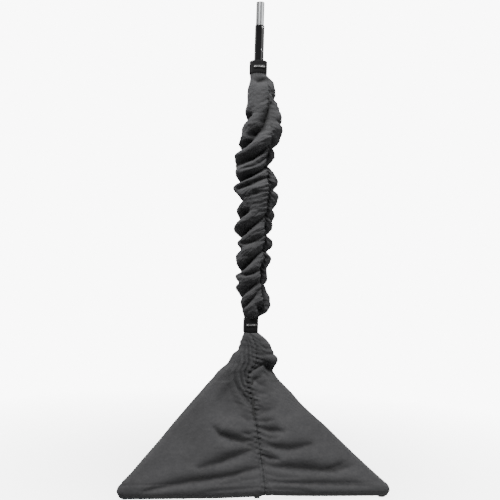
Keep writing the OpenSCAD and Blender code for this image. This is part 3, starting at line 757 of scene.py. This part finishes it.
# Outline of the sleeve, neck to top: height, reach to the left, reach to the right (mm)
SLEEVE_OUTLINE = [
    (581, 26, 30), (596, 31, 54), (618, 36, 65), (645, 42, 63), (672, 50, 52), (700, 53, 52),
    (735, 56, 52), (765, 55, 54), (800, 55, 60), (835, 53, 60), (870, 54, 59), (905, 63, 64),
    (950, 59, 66), (1000, 54, 78), (1050, 70, 78), (1085, 68, 74), (1110, 66, 60), (1150, 70, 52),
    (1180, 66, 60), (1215, 60, 76), (1255, 51, 87), (1300, 42, 88), (1345, 41, 76), (1375, 39, 68),
    (1410, 39, 60), (1436, 34, 57), (1458, 29, 52), (1474, 31, 36),
]
# Creases of the sleeve: route as (azimuth, height in mm), depth and width (mm)
SLEEVE_CREASES = [
    ([(322, 1452), (295, 1446), (262, 1440), (235, 1452)], 13, 10),
    ([(140, 1298), (172, 1302), (212, 1308), (235, 1318)], 30, 8),
    ([(308, 1352), (298, 1300), (284, 1262), (262, 1246), (236, 1240)], 22, 10),
    ([(262, 1236), (225, 1206), (172, 1189), (140, 1184)], 30, 8),
    ([(300, 1204), (278, 1176), (250, 1154), (215, 1142), (180, 1140)], 18, 8),
    ([(298, 1162), (275, 1140), (250, 1126), (210, 1118)], 9, 5),
    ([(302, 1130), (280, 1113), (250, 1096), (215, 1082), (172, 1078), (140, 1072)], 26, 7),
    ([(304, 1092), (280, 1080), (245, 1060), (222, 1052), (200, 1050)], 20, 8),
    ([(276, 1036), (262, 1028), (250, 1026)], 9, 6),
    ([(215, 1012), (190, 1006), (172, 1008), (140, 1004)], 14, 8),
    ([(240, 968), (215, 956), (190, 936), (172, 927), (140, 920)], 30, 8),
    ([(300, 950), (275, 926), (250, 905), (225, 890), (195, 876), (165, 866), (140, 862)], 19, 8),
    ([(292, 874), (262, 856), (235, 848), (205, 850)], 8, 6),
    ([(140, 818), (172, 824), (205, 834)], 15, 7),
    ([(306, 830), (285, 814), (255, 786), (225, 764), (195, 752), (165, 748), (140, 745)], 18, 8),
    ([(294, 760), (268, 744), (238, 735), (215, 738)], 11, 6),
    ([(302, 722), (280, 706), (250, 684), (215, 664), (180, 652), (140, 642)], 15, 8),
    ([(292, 684), (268, 652), (240, 628), (205, 614), (165, 610)], 12, 6),
    ([(296, 786), (301, 740), (306, 700), (312, 664)], 13, 6),
    ([(304, 706), (312, 660), (322, 622)], 12, 5),
    ([(284, 630), (297, 612), (314, 602)], 14, 9),
    ([(258, 612), (235, 600), (212, 600)], 7, 6),
    ([(200, 712), (180, 706), (150, 700)], 12, 6),
    ([(308, 1232), (325, 1206), (352, 1192), (390, 1190)], 16, 8),
    ([(306, 1166), (325, 1138), (352, 1126), (395, 1124)], 17, 8),
    ([(308, 1070), (330, 1052), (352, 1048), (400, 1046)], 13, 6),
    ([(308, 912), (330, 888), (352, 879), (392, 880)], 19, 8),
    ([(310, 840), (330, 822), (352, 816), (390, 812)], 15, 7),
    ([(318, 716), (335, 700), (352, 692), (390, 690)], 14, 8),
    ([(314, 1300), (335, 1290), (352, 1286), (385, 1288)], 7, 6),
    ([(314, 1250), (330, 1240), (350, 1236)], 7, 5),
    ([(312, 1402), (335, 1384), (365, 1380)], 7, 7),
    ([(314, 1000), (330, 982), (352, 972), (380, 970)], 8, 7),
    ([(312, 952), (330, 940), (352, 936)], 8, 6),
]


def back_creases(count, low, high, seed):
    """Swags round the side that faces away, hung between the seam and the far side, with some chance in them."""
    r = np.random.default_rng(seed)
    creases = []
    for k in range(count):
        z = low + (high - low) * (k + 0.5 + r.uniform(-0.25, 0.25)) / count
        start = r.uniform(360, 385)
        sweep = r.uniform(70, 135)
        drop = r.uniform(10, 34) * (1 if k % 2 else -1)
        route = [(start + sweep * s, z - drop * s - 16 * math.sin(math.pi * s)) for s in (0, 0.3, 0.6, 1)]
        creases.append((route, r.uniform(10, 18), r.uniform(6, 9)))
    return creases


def crease_field(arc, z, creases, arc_per_degree, period=None):
    """How far the creases pull the cloth in (mm): a long slope above each, a short one below with a ridge under it.
    Also the painted shade for each point, 0 to 1: dark at each crease and spread over the long slope above it."""
    pulled, fold_shade = np.zeros(z.shape), np.zeros(z.shape)
    for route, depth, width in creases:
        path = [(a * arc_per_degree, h) for a, h in route]
        middle = sum(p[0] for p in path) / len(path)
        x = arc if period is None else middle + (arc - middle + period / 2) % period - period / 2
        d, along = distance_to_path(x, z, path)
        fade = np.clip(np.sin(math.pi * np.clip(along * 0.86 + 0.07, 0, 1)), 0, 1) ** 0.6
        upper = 1.1 + 1.0 * np.sin(math.pi * np.clip(along, 0, 1))
        above = np.exp(-(np.abs(d) / (upper * width)) ** 1.6)
        below = np.exp(-(np.abs(d) / (1.05 * width)) ** 1.7)
        ridge = 0.30 * falloff(d + 3.3 * width, 2.4 * width) + 0.16 * falloff(d - 4.4 * width, 2.4 * width)
        pulled = pulled + depth * fade * (np.where(d > 0, above, below) - ridge)
        # painted shade: dark at each crease line, wide over the slope above it and narrow below it
        shade = np.where(d > 0, np.exp(-(np.abs(d) / (upper * width)) ** 1.4),
                         np.exp(-(np.abs(d) / (0.6 * width)) ** 2))
        fold_shade = np.maximum(fold_shade, shade * fade * min(1.0, depth / 12))
    return pulled, fold_shade


def fine_wrinkles(x, y, seed, pitch, run):
    """Thin wandering crease lines, close together along y and long along x, as depths 0 to 1."""
    lines = ripple(x * 2 * math.pi / run, y * 2 * math.pi / pitch, seed)
    patches = np.clip(0.6 + 0.6 * ripple(x * 2 * math.pi / (2 * run), y * 2 * math.pi / (6 * pitch), seed + 1), 0, 1)
    return np.exp(-(lines / 0.32) ** 2) * patches


def sleeve_shape(azimuth, z):
    """Radius of the sleeve (m) and the painted shade of its folds, for azimuths in degrees and heights in metres."""
    h = z * 1000
    left = smooth_curve(SLEEVE_OUTLINE, 1, h)
    right = smooth_curve(SLEEVE_OUTLINE, 2, h)
    lean = np.cos(np.radians(azimuth - VIEW_RIGHT))
    radius = (left + right) / 2 + (right - left) / 2 * lean
    per_degree = SLEEVE_MEAN_R * math.pi / 180
    arc = azimuth * per_degree
    creases = SLEEVE_CREASES + back_creases(15, 610, 1450, 5)
    room = np.clip((radius - 27) / 26, 0.15, 1.1)
    pulled, fold_shade = crease_field(arc, h, creases, per_degree, 360 * per_degree)
    radius -= 1.15 * pulled * room
    # fine wrinkles that fall away from the gathered seam on both sides, with light painted shade in them
    off = (azimuth - SLEEVE_SEAM + 180) % 360 - 180
    across = np.abs(off) * per_degree
    fine = fine_wrinkles(across, h + 0.62 * across, 51, 23, 120) * np.clip((1420 - h) / 120, 0.2, 1)
    radius -= 2.2 * room * fine
    fold_shade = np.maximum(fold_shade, 0.3 * fine)
    # puckers along the seam, and the channel between them, crossed by slanting pulls of cloth; painted shade in the
    # pucker valleys and the channel
    slant = off * per_degree
    wobble = 7.0 * ripple(h * 0.03, off * 0.02, 3)
    pucker = np.sin((h + wobble + 0.5 * across) * 2 * math.pi / 19) + 0.4 * np.sin((h - wobble) * 2 * math.pi / 8.3)
    low_part = np.clip((1270 - h) / 90, 0.25, 1)
    near = falloff(across, 22, 1.2) * low_part
    channel = falloff(slant - 4, 9, 3) * low_part
    pull = np.clip(1.6 * np.sin((h + wobble + 1.1 * slant) * 2 * math.pi / 17) - 0.5, 0, 1)
    radius += room * (3.4 * pucker * near * (1 - channel) - channel * (8.0 - 6.5 * pull))
    fold_shade = np.maximum(fold_shade, np.clip(-pucker, 0, 1) * near * 0.8)
    fold_shade = np.maximum(fold_shade, channel * (1 - 0.85 * pull))
    # slow unevenness of loose cloth
    radius += room * (1.6 * ripple(arc * 0.06, h * 0.11, 8) + 0.7 * ripple(arc * 0.16, h * 0.30, 9))
    # drawn in under the two straps, in fine pleats, with painted shade between the pleats
    pleat = np.sin(np.radians(azimuth) * 23 + 1.2 * ripple(np.radians(azimuth) * 3, 0 * h, 4))
    for edge, grip, reach in ((SLEEVE_HIGH, 30.4, 26), (SLEEVE_LOW, 26.0, 22)):
        near = falloff(h - edge * 1000, reach, 1.6)
        gripped = grip + 1.1 * pleat
        radius = radius * (1 - near**3) + gripped * near**3 + 1.6 * pleat * near * (1 - near)
        fold_shade = np.maximum(fold_shade, 0.6 * near * np.clip(-pleat, 0, 1))
    return np.maximum(radius, MIDDLE_R * 1000 + 4) / 1000, fold_shade


def build_sleeve():
    cols, rows = (280, 480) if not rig.quick() else (200, 340)
    azimuth = SLEEVE_SEAM + np.arange(cols) * 360 / cols
    heights = np.linspace(SLEEVE_LOW, SLEEVE_HIGH, rows)
    a, z = np.meshgrid(azimuth, heights)
    radius, fold_shade = sleeve_shape(a, z)
    points = on_column(a, radius, z).reshape(-1, 3)
    around = (np.radians(a) * (SLEEVE_MEAN_R / 1000)).ravel()
    sleeve = mesh_piece("sleeve_cloth", points, grid_faces(rows, cols, closed=True),
                        np.stack([around, z.ravel() * 1.25], 1), slot="cover_cloth", material=CLOTH)
    relax_cloth(sleeve, cols, rows)
    paint_fold_shade(sleeve, fold_shade)
    thicken(sleeve, CLOTH_T)
    shorten_with_tube(sleeve)
    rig.replaces(sleeve, "sleeve")
    return sleeve


def build_sleeve_tape():
    """The elastic sewn along the inside of the sleeve's seam, which gathers with it."""
    rows = 480 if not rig.quick() else 340
    heights = np.linspace(SLEEVE_LOW + 0.002, SLEEVE_HIGH - 0.002, rows)
    a, z = np.meshgrid(SLEEVE_SEAM + np.linspace(-4.5, 4.5, 5), heights)
    radius = np.minimum(sleeve_shape(a, z)[0], sleeve_shape(a * 0 + SLEEVE_SEAM, z)[0]) - 0.0026
    radius = np.maximum(radius, MIDDLE_R + 0.0014)
    points = on_column(a, radius, z).reshape(-1, 3)
    uv = np.stack([np.radians(a).ravel() * 0.06, z.ravel()], 1)
    tape = mesh_piece("sleeve_seam_elastic", points, grid_faces(rows, 5), uv, slot="elastic", material=ELASTIC)
    thicken(tape, ELASTIC_T)
    shorten_with_tube(tape)
    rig.replaces(tape, "sleeve_tape")
    return tape


def shorten_with_tube(piece):
    """The piece hangs between the two straps, so it shortens as the middle tube comes down."""
    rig.ride(piece, "column")
    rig.squash(piece, "middle_slide", axis=(0, 0, 1), anchor=(AXIS_X, AXIS_Y, SLEEVE_LOW), keep=sleeve_keep())


def sleeve_keep():
    """Share of the sleeve's length that is left when the middle tube is right down."""
    travel = next(-j["range_m"][0] for j in frame["joints"] if j["name"] == "middle_slide")
    return 1 - travel / (TOP_LOW - SLEEVE_LOW)


def relax_cloth(piece, cols, rows):
    """Takes the mechanical look off the laid folds: the cloth settles towards an even spacing."""
    co = np.empty(len(piece.data.vertices) * 3)
    piece.data.vertices.foreach_get("co", co)
    p = co.reshape(rows, cols, 3)
    q = (np.roll(p, 1, 1) + np.roll(p, -1, 1)) * 0.25 + p * 0.5
    q[1:-1] = q[1:-1] * 0.5 + (p[:-2] + p[2:]) * 0.25
    q[0], q[-1] = p[0], p[-1]
    piece.data.vertices.foreach_set("co", q.ravel())
    piece.data.update()


# ---- the skirt
HEM_Z = 0.006
SKIRT_TOP = NECK_LOW - 0.0005
CORNER_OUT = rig.box("skirt_gore_1")[1].y - AXIS_Y     # from the column to the outside of a corner
FOOT_Z = 0.0233
POCKET_R = 0.0265
POCKET_TOP = 0.05          # below this a corner follows the foot's pocket
SHOULDER_Z = 0.376         # above this the corners widen towards the neck
HIGH_CLOTH_Z = 0.36        # above this even the cloth by the corners is deeply folded
# How far each corner of the skirt stands from the column, by height (mm): back, left and right leg
CORNER_PROFILE = {
    0: [(60, 502), (120, 436), (200, 346), (280, 258), (350, 180), (405, 110), (440, 80), (480, 47), (527, 27)],
    1: [(53, 508), (75, 480), (122, 429), (169, 377), (218, 327), (268, 273), (294, 245), (320, 216), (346, 188),
        (372, 159), (399, 129), (415, 101), (436, 84), (454, 70), (475, 49), (489, 43), (527, 26)],
    2: [(49, 508), (72, 476), (119, 414), (168, 352), (217, 291), (267, 223), (293, 192), (319, 166), (345, 135),
        (371, 107), (392, 95), (403, 96), (422, 103), (447, 94), (472, 86), (489, 75), (508, 56), (527, 28)],
}
# Creases of the front panel: route as (distance to the right of the middle, height), depth, width (mm)
FRONT_CREASES = [
    ([(12, 153), (-50, 132), (-110, 112), (-186, 98)], 13, 8),
    ([(20, 98), (-71, 75), (-175, 61), (-274, 50), (-372, 32)], 12, 7),
    ([(20, 70), (-60, 58), (-120, 50)], 4, 5),
    ([(18, 42), (-80, 36), (-170, 30)], 4, 6),
    ([(16, 168), (0, 160), (-24, 160)], 5, 4),
    ([(-120, 212), (-106, 192), (-68, 178), (-28, 172), (4, 178)], 15, 9),
    ([(8, 200), (-8, 194), (-30, 200)], 6, 5),
    ([(8, 236), (-6, 238), (-26, 250)], 5, 6),
    ([(-26, 522), (-24, 470), (-16, 422), (-4, 372), (7, 338)], 11, 4.5),
    ([(-18, 518), (-12, 476), (-4, 436), (5, 408)], 7, 3.5),
    ([(-36, 508), (-36, 450), (-27, 396), (-13, 350), (6, 316)], 10, 5),
    ([(-46, 470), (-49, 420), (-40, 360), (-21, 318), (2, 296)], 8, 6),
    ([(-64, 440), (-66, 390), (-60, 340), (-44, 296), (-20, 268)], 4, 8),
    ([(-24, 334), (0, 304), (15, 288)], 8, 4.5),
    ([(-16, 312), (4, 286), (20, 278)], 6, 4),
    ([(16, 300), (24, 290), (36, 294)], 6, 4),
    ([(2, 514), (18, 504), (40, 494)], 7, 4),
    ([(0, 496), (20, 488), (44, 472), (62, 476)], 8, 4.5),
    ([(4, 478), (22, 470), (36, 462)], 5, 3.5),
    ([(6, 460), (34, 452), (66, 458), (100, 468)], 11, 5.5),
    ([(10, 440), (30, 434), (52, 428)], 7, 4.5),
    ([(12, 424), (26, 418), (38, 420)], 5, 4),
    ([(12, 390), (24, 404), (40, 418), (58, 412), (84, 398), (98, 384)], 16, 6.5),
    ([(60, 392), (72, 384), (84, 372)], 10, 7),
    ([(14, 372), (30, 366), (48, 350), (72, 346)], 6, 7),
    ([(14, 350), (30, 362), (52, 374)], 7, 5),
    ([(14, 330), (30, 322), (56, 322), (100, 334)], 6, 8),
    ([(22, 262), (40, 268), (66, 266)], 5, 5),
    ([(24, 250), (60, 262), (94, 274)], 6, 7),
    ([(28, 236), (60, 233), (86, 240)], 7, 6),
    ([(30, 216), (66, 204), (112, 203)], 14, 8),
    ([(30, 196), (60, 182), (94, 186)], 6, 6),
    ([(30, 172), (84, 152), (130, 147), (206, 162)], 13, 8),
    ([(30, 133), (58, 122), (86, 121)], 11, 6),
    ([(32, 108), (70, 98), (110, 94), (191, 88), (271, 84), (354, 106)], 15, 8),
    ([(248, 86), (290, 98), (330, 118)], 6, 7),
    ([(30, 80), (80, 70), (150, 68)], 4, 5),
    ([(30, 58), (120, 51), (240, 48), (396, 44)], 9, 7),
    ([(30, 34), (110, 30), (180, 27)], 4, 6),
]


def seam_shift(panel, z):
    """How far the gathered seam of a panel stands to the right of its middle."""
    h = z * 1000
    if panel == 1:
        knots = [(0, 24), (60, 26), (150, 25), (240, 23), (300, 19), (340, 11), (380, 7), (430, 12), (480, 5), (530, 0)]
        return smooth_curve(knots, 1, h) / 1000
    return 0.006 * np.sin(h * 0.017 + panel) * np.clip((520 - h) / 200, 0, 1)


def loose_creases(panel):
    """Creases that run out from the gathered seam of a panel that faces away."""
    r = np.random.default_rng(40 + panel)
    creases = []
    for k, h in enumerate((470, 432, 396, 350, 300, 262, 214, 168, 130, 98, 58)):
        for side in (-1, 1):
            run = r.uniform(0.35, 0.9) * (80 + (440 - h) * 0.75)
            lift = r.uniform(-26, 14)
            h0 = h + r.uniform(-9, 9)
            route = [(side * 6, h0), (side * run * 0.4, h0 + lift * 0.7), (side * run, h0 + lift)]
            creases.append((route, r.uniform(4, 10), r.uniform(6, 9)))
    return creases


PANEL_CREASES = {0: loose_creases(0), 1: FRONT_CREASES, 2: loose_creases(2)}


def panel_relief(panel, s, z):
    """How far a panel's cloth stands out from the flat (m), s to the right of its middle, and the painted shade of its
    folds.
    """
    x, h = s * 1000, z * 1000
    off = x - seam_shift(panel, z) * 1000
    pulled, fold_shade = crease_field(x, h, PANEL_CREASES[panel], 1.0)
    fold = -pulled
    if panel == 1:
        def swell(right, height, across, tall, reach, power):
            return falloff(np.hypot((x - right) / across, (h - height) / tall), reach, power)

        hollow = swell(-46, 296, 62, 92, 0.92, 3.0)
        upper = swell(-50, 330, 52, 62, 0.95, 3.0)
        pit = falloff(np.hypot((x - 66) / 22, (h - 404 + (x - 66) * 0.55) / 9), 1.0, 2.4)
        fold = fold - 19 * hollow - 17 * pit
        fold += 9 * swell(-54, 214, 50, 26, 1.0, 2.4)
        fold += 10 * swell(58, 446, 30, 24, 1.0, 2.2)
        fold -= 7 * swell(52, 348, 26, 22, 1.0, 2.2)
        # painted shade in the pit and over the upper part of the hollow, fading out lower down
        upper = upper * np.clip((h - 225) / 60, 0.25, 1)
        fold_shade = np.maximum(fold_shade, np.maximum(pit, 0.26 * upper))
    else:
        fold -= 12 * falloff(np.hypot(x / 90, (h - 270) / 120), 1.0, 2.5)
    wobble = 4 * ripple(h * 0.04, x * 0.02, 20 + panel)
    reach = 17 + 9 * np.sin(h * 0.043 + panel)
    pucker = np.sin((h + wobble + 0.35 * off) * 2 * math.pi / 17) + 0.6 * np.sin((h - 0.3 * off) * 2 * math.pi / 8.3)
    tight = np.clip((h + 40) / 260, 0.45, 1)
    near = falloff(off, reach, 1.2)
    fold += tight * (3.4 * pucker * near - 5.0 * falloff(off, 5.5, 1.5))
    fine = fine_wrinkles(np.abs(off), h - 0.1 * np.abs(off), 60 + panel, 34, 260) * falloff(off, 150, 1.5)
    fold -= 1.5 * fine
    # painted shade: in the seam's pucker valleys, in the fine wrinkles and along a dark line in the seam
    line = falloff(off, 2.2, 2) * np.clip(0.5 - 0.5 * pucker, 0, 1)
    fold_shade = np.maximum.reduce([fold_shade, tight * np.clip(-pucker, 0, 1) * near, 0.25 * fine, 0.6 * line])
    fold += 1.4 * ripple(x * 0.018, h * 0.03, 30 + panel) + 0.5 * ripple(x * 0.05, h * 0.10, 33 + panel)
    return fold / 1000, fold_shade


def corner_profile(i, z):
    """Distance from the column to the outside of corner i, rounded over the foot's pocket at the bottom."""
    h, r = z - FOOT_Z, POCKET_R
    pocket = np.where(h < 0, r * np.clip(1 + 0.5 * h / FOOT_Z, 0, 1), np.sqrt(np.maximum(0, r * r - h * h)))
    edge = smooth_curve(CORNER_PROFILE[i], 1, z * 1000) / 1000
    over = CORNER_OUT - POCKET_R + pocket
    return np.where(z < POCKET_TOP, over, edge)


def corner_round(z):
    """Radius to which the cloth rounds a corner."""
    widen = 0.0045 * (z - SHOULDER_Z) / (SKIRT_TOP - SHOULDER_Z)
    return np.where(z < POCKET_TOP, 0.027, np.where(z < SHOULDER_Z, 0.020, 0.020 + widen))


def direction(azimuth):
    a = np.radians(azimuth)
    return np.stack(np.broadcast_arrays(np.cos(a), np.sin(a)), -1)


def skirt_row(i, z, panel_cols, corner_cols):
    """One level of gore i, from seam to seam: plan points, outward directions, place along the panel, which
    panel it is, and half that panel's length."""
    c = corner_round(z)
    centre = [(corner_profile(k, z) - c)[..., None] * direction(LEG_AZIMUTHS[k]) for k in range(3)]
    h, j = (i - 1) % 3, (i + 1) % 3
    plan, out, place, panel, halves = [], [], [], [], []
    for first, second, mine in ((h, i, "end"), (i, j, "start")):
        p, q = centre[first], centre[second]
        length = np.linalg.norm(q - p, axis=-1, keepdims=True)
        e = (q - p) / length
        n = np.stack([e[..., 1], -e[..., 0]], -1)
        shift = seam_shift(first, z)
        t = np.linspace(0, 1, panel_cols) ** 0.92
        s1 = (-1 if mine == "start" else 1) * length[..., 0] / 2
        s = shift[..., None] + (s1 - shift)[..., None] * t
        middle = (p + q) / 2 + c[..., None] * n
        points = middle[..., None, :] + s[..., None] * e[..., None, :]
        normals = np.broadcast_to(n[..., None, :], points.shape)
        if mine == "start":
            s, points, normals = s[..., ::-1], points[..., ::-1, :], normals[..., ::-1, :]
        plan.append(points)
        out.append(normals)
        place.append(s)
        panel.append(np.full(s.shape, first))
        halves.append(np.broadcast_to(length / 2, s.shape))
    start, end = out[0][..., -1, :], out[1][..., 0, :]
    a0 = np.arctan2(start[..., 1], start[..., 0])
    turn = (np.arctan2(end[..., 1], end[..., 0]) - a0) % (2 * math.pi)
    t = np.linspace(0, 1, corner_cols + 2)[1:-1]
    a = a0[..., None] + turn[..., None] * t
    n = np.stack([np.cos(a), np.sin(a)], -1)
    corner = centre[i][..., None, :] + c[..., None, None] * n
    rounded = [np.concatenate([plan[0], corner, plan[1]], -2), np.concatenate([out[0], n, out[1]], -2)]
    for one, two in (place, panel, halves):      # the corner takes these from the panel that it is nearer to
        rounded.append(np.concatenate([one, np.where(t < 0.5, one[..., -1:], two[..., :1]), two], -1))
    return rounded


def gore_surface(i, rows, panel_cols, corner_cols):
    share = np.linspace(0, 1, rows)
    z = HEM_Z + (SKIRT_TOP - HEM_Z) * (0.9 * share + 0.1 * share**2)
    plan, out, place, panel, half = skirt_row(i, z, panel_cols, corner_cols)
    zz = np.broadcast_to(z[:, None], place.shape)
    relief, fold_shade, lift = (np.zeros(place.shape) for _ in range(3))
    for k in range(3):
        on = panel == k
        if on.any():
            full, fold = panel_relief(k, place, zz)
            relief = np.where(on, full, relief)
            fold_shade = np.where(on, fold, fold_shade)
            off = place - seam_shift(k, zz)
            up = 0.005 * falloff(off, 0.11, 1.5) + 0.005 * falloff(off, 0.008, 1.6)
            up = up + 0.004 * np.clip(off / 0.02, 0, 1) * (k == 1)
            lift = np.where(on, up, lift)
    from_corner = np.clip((half - np.abs(place)) / 0.085, 0, 1)
    soft = 0.10 + 0.90 * from_corner * from_corner * (3 - 2 * from_corner)
    gathered = np.clip((SKIRT_TOP - zz) / 0.035, 0, 1)
    slack = np.where(zz > HIGH_CLOTH_Z, np.maximum(soft, 0.75), soft)
    relief = relief * slack * gathered
    relief = relief * np.clip((zz - 0.002) / 0.03, 0.35, 1)
    fold_shade = fold_shade * slack
    radius = np.linalg.norm(plan, axis=-1)
    points = plan + out * relief[..., None]
    back = np.linalg.norm(points, axis=-1)
    least = OUTER_R + 0.006 + 0.012 * np.clip((0.47 - zz) / 0.05, 0, 1)
    points = points * (np.maximum(back, np.minimum(least, radius)) / np.maximum(back, 1e-6))[..., None]
    low = np.clip(1 - (zz - HEM_Z) / 0.06, 0, 1)
    height = zz + lift * low
    return np.concatenate([points + np.array([AXIS_X, AXIS_Y]), height[..., None]], -1), fold_shade


def cloth_uv(points):
    """Cloth coordinates in metres, measured along the surface from its middle column and lowest row."""
    rows, cols = points.shape[:2]
    along = np.linalg.norm(np.diff(points, axis=1), axis=-1)
    u = np.concatenate([np.zeros((rows, 1)), np.cumsum(along, 1)], 1)
    u = u - u[:, cols // 2][:, None]
    up = np.linalg.norm(np.diff(points, axis=0), axis=-1)
    v = np.concatenate([np.zeros((1, cols)), np.cumsum(up, 0)], 0)
    return np.stack([u, v], -1).reshape(-1, 2)


def leg_point(i, out, z=0.2):
    return tuple(on_column(LEG_AZIMUTHS[i], out, z))


def follow_leg(piece, i):
    """The cloth over a leg swings with it, and its seams stay with the column."""
    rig.blend(piece, "column", f"leg_{i + 1}", start=leg_point(i, 0.14), end=leg_point(i, 0.40))


def build_gore(i):
    rows, panel_cols, corner_cols = (150, 110, 16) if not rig.quick() else (110, 76, 12)
    surface, fold_shade = gore_surface(i, rows, panel_cols, corner_cols)
    cols = surface.shape[1]
    gore = mesh_piece(f"skirt_cloth_{i + 1}", surface.reshape(-1, 3), grid_faces(rows, cols), cloth_uv(surface),
                      slot="cover_cloth", material=CLOTH)
    paint_fold_shade(gore, fold_shade)
    thicken(gore, CLOTH_T)
    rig.replaces(gore, f"skirt_gore_{i + 1}")
    stitches = build_stitches(i, surface)
    follow_leg(gore, i)
    follow_leg(stitches, i)
    return gore, stitches


STITCH_PITCH = 0.0044
STITCH_LENGTH = 0.0030


def build_stitches(i, surface):
    """Two rows of lock stitch above the hem and one beside each seam."""
    points, faces = [], []
    for run in (surface[4], surface[6], surface[:, 2], surface[:, -3]):
        length = np.concatenate([[0], np.cumsum(np.linalg.norm(np.diff(run, axis=0), axis=1))])
        marks = np.arange(0.002, length[-1], STITCH_PITCH)
        ends = [np.stack([np.interp(marks + d, length, run[:, k]) for k in range(3)], -1) for d in (0, STITCH_LENGTH)]
        for a, b in zip(*ends):
            add_stitch(points, faces, a, b)
    return mesh_piece(f"skirt_stitching_{i + 1}", points, faces, slot="cover_cloth", material=THREAD)


def add_stitch(points, faces, a, b, width=0.0009, height=0.0005):
    along = (b - a) / max(np.linalg.norm(b - a), 1e-6)
    outward = (a + b) / 2 - np.array([AXIS_X, AXIS_Y, a[2]])
    outward = outward - along * (outward @ along)
    outward = outward / max(np.linalg.norm(outward), 1e-6)
    side = np.cross(along, outward) * width / 2
    base = len(points)
    for end in (a, b):
        points += [end - side, end + side, end + outward * height]
    faces += [(base, base + 1, base + 4, base + 3), (base + 1, base + 2, base + 5, base + 4),
              (base + 2, base, base + 3, base + 5), (base, base + 2, base + 1), (base + 3, base + 4, base + 5)]


# ---- straps and labels
def wrapped_band(low, high, radius, start, sweep, cols, flare, seed):
    """A strip of tape round the column, with edges that waver a little and a far end that lifts off."""
    azimuth = np.linspace(start, start + sweep, cols)
    rows = np.linspace(0, 1, 9)
    a, v = np.meshgrid(azimuth, rows)
    edge = 0.0006 * ripple(np.radians(a) * 4, 3 * v, seed)
    share = np.linspace(0, 1, cols)[None, :]
    crown = 0.0005 * np.sin(np.pi * v)
    r = radius + crown + 0.0004 * ripple(np.radians(a) * 6, v * 2, seed + 1) + flare * share**6
    z = low + (high - low) * v + edge
    return on_column(a, r, z)


def build_strap(name, node, low, high, radius, lap_start, lap_sweep, seed):
    """A hook-and-loop strap closed round the column, its end lapped over its start."""
    ring = wrapped_band(low, high, radius, 0, 360, 121, 0.0, seed)
    ring[:, -1] = ring[:, 0]
    lap = wrapped_band(low + 0.001, high - 0.001, radius + 0.0016, lap_start, lap_sweep, 31, 0.0016, seed + 5)
    points, faces, uvs = [], [], []
    for part in (ring, lap):
        base = len(points)
        rows, cols = part.shape[:2]
        points += list(part.reshape(-1, 3))
        faces += [tuple(base + n for n in f) for f in grid_faces(rows, cols)]
        uvs += list(cloth_uv(part))
    strap = mesh_piece(name, points, faces, uvs, slot="strap_web", material=TAPE)
    thicken(strap, STRAP_T)
    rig.ride(strap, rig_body(node))
    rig.replaces(strap, node)
    stitch = strap_stitching(name + "_stitching", low, high, radius + 0.0022,
                             lap_start + lap_sweep * 0.25, lap_sweep * 0.5)
    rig.ride(stitch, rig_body(node))


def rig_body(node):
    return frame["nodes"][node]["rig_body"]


def strap_stitching(name, low, high, radius, start, sweep):
    """A box of stitches through the strap's lapped end."""
    inset = 0.005
    corners = [(start, low + inset), (start + sweep, low + inset), (start + sweep, high - inset), (start, high - inset),
               (start, low + inset), (start + sweep, high - inset)]
    points, faces = [], []
    for (a0, z0), (a1, z1) in zip(corners[:-1], corners[1:]):
        count = max(3, int(max(abs(a1 - a0) * math.pi / 180 * radius, abs(z1 - z0)) / 0.0032))
        for k in range(count):
            ends = [on_column(a0 + (a1 - a0) * t, radius, z0 + (z1 - z0) * t) for t in (k / count, (k + 0.68) / count)]
            add_stitch(points, faces, *ends)
    return mesh_piece(name, points, faces, slot="strap_web", material=THREAD)


def build_label(name, node, z, radius, centre, sweep, tilt):
    """A woven label sewn flat on a strap."""
    a, v = np.meshgrid(np.linspace(centre - sweep / 2, centre + sweep / 2, 41), np.linspace(-0.5, 0.5, 5))
    rise = np.radians(a - centre) * radius * math.tan(math.radians(tilt))
    points = on_column(a, radius, z + v * LABEL_HEIGHT + rise)
    uv = np.stack([np.radians(a - centre) * radius, v * LABEL_HEIGHT], -1).reshape(-1, 2)
    label = mesh_piece(name, points.reshape(-1, 3), grid_faces(5, 41), uv, slot="label_weave", material=LABEL)
    thicken(label, LABEL_T)
    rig.ride(label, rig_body(node))
    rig.replaces(label, node)


def build_straps():
    build_strap("neck_strap_cloth", "neck_strap", NECK_LOW, NECK_HIGH, NECK_R - 0.0014, 172, 46, 3)
    build_strap("top_strap_cloth", "top_strap", TOP_LOW - 0.001, TOP_HIGH + 0.003, TOP_R - 0.0014, 149, 46, 13)
    build_label("neck_label_woven", "neck_label", (NECK_LOW + NECK_HIGH) / 2 + 0.002, NECK_R + 0.0010, 267, 78, 2)
    build_label("top_label_woven", "top_label", (TOP_LOW + TOP_HIGH) / 2 + 0.001, TOP_R + 0.0010, 268, 72, 1)


dress_nodes()
place_camera()
studio()
sleeve = build_sleeve()
sleeve_tape = build_sleeve_tape()
gores = [build_gore(i) for i in range(3)]
build_straps()

# The cuts that the cloth was sewn from, as width and length in metres
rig.sheet(sleeve, flat=(0.42, 1.20), held="gathered", rests_on=["neck_cuff", "top_cuff", "clamp_collar"],
         with_pieces=[sleeve_tape])
for i, (gore, stitches) in enumerate(gores, start=1):
    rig.sheet(gore, flat=(0.95, 0.64), area=0.30, held="stretched",
             rests_on=[f"foot_pocket_{i}", "leg_hub", "neck_cuff"], with_pieces=[stitches])

with open("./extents.json", "w") as out:
    json.dump({"cad": [list(c) for c in cad_box], "visual": [list(c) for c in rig.bounds()]}, out)
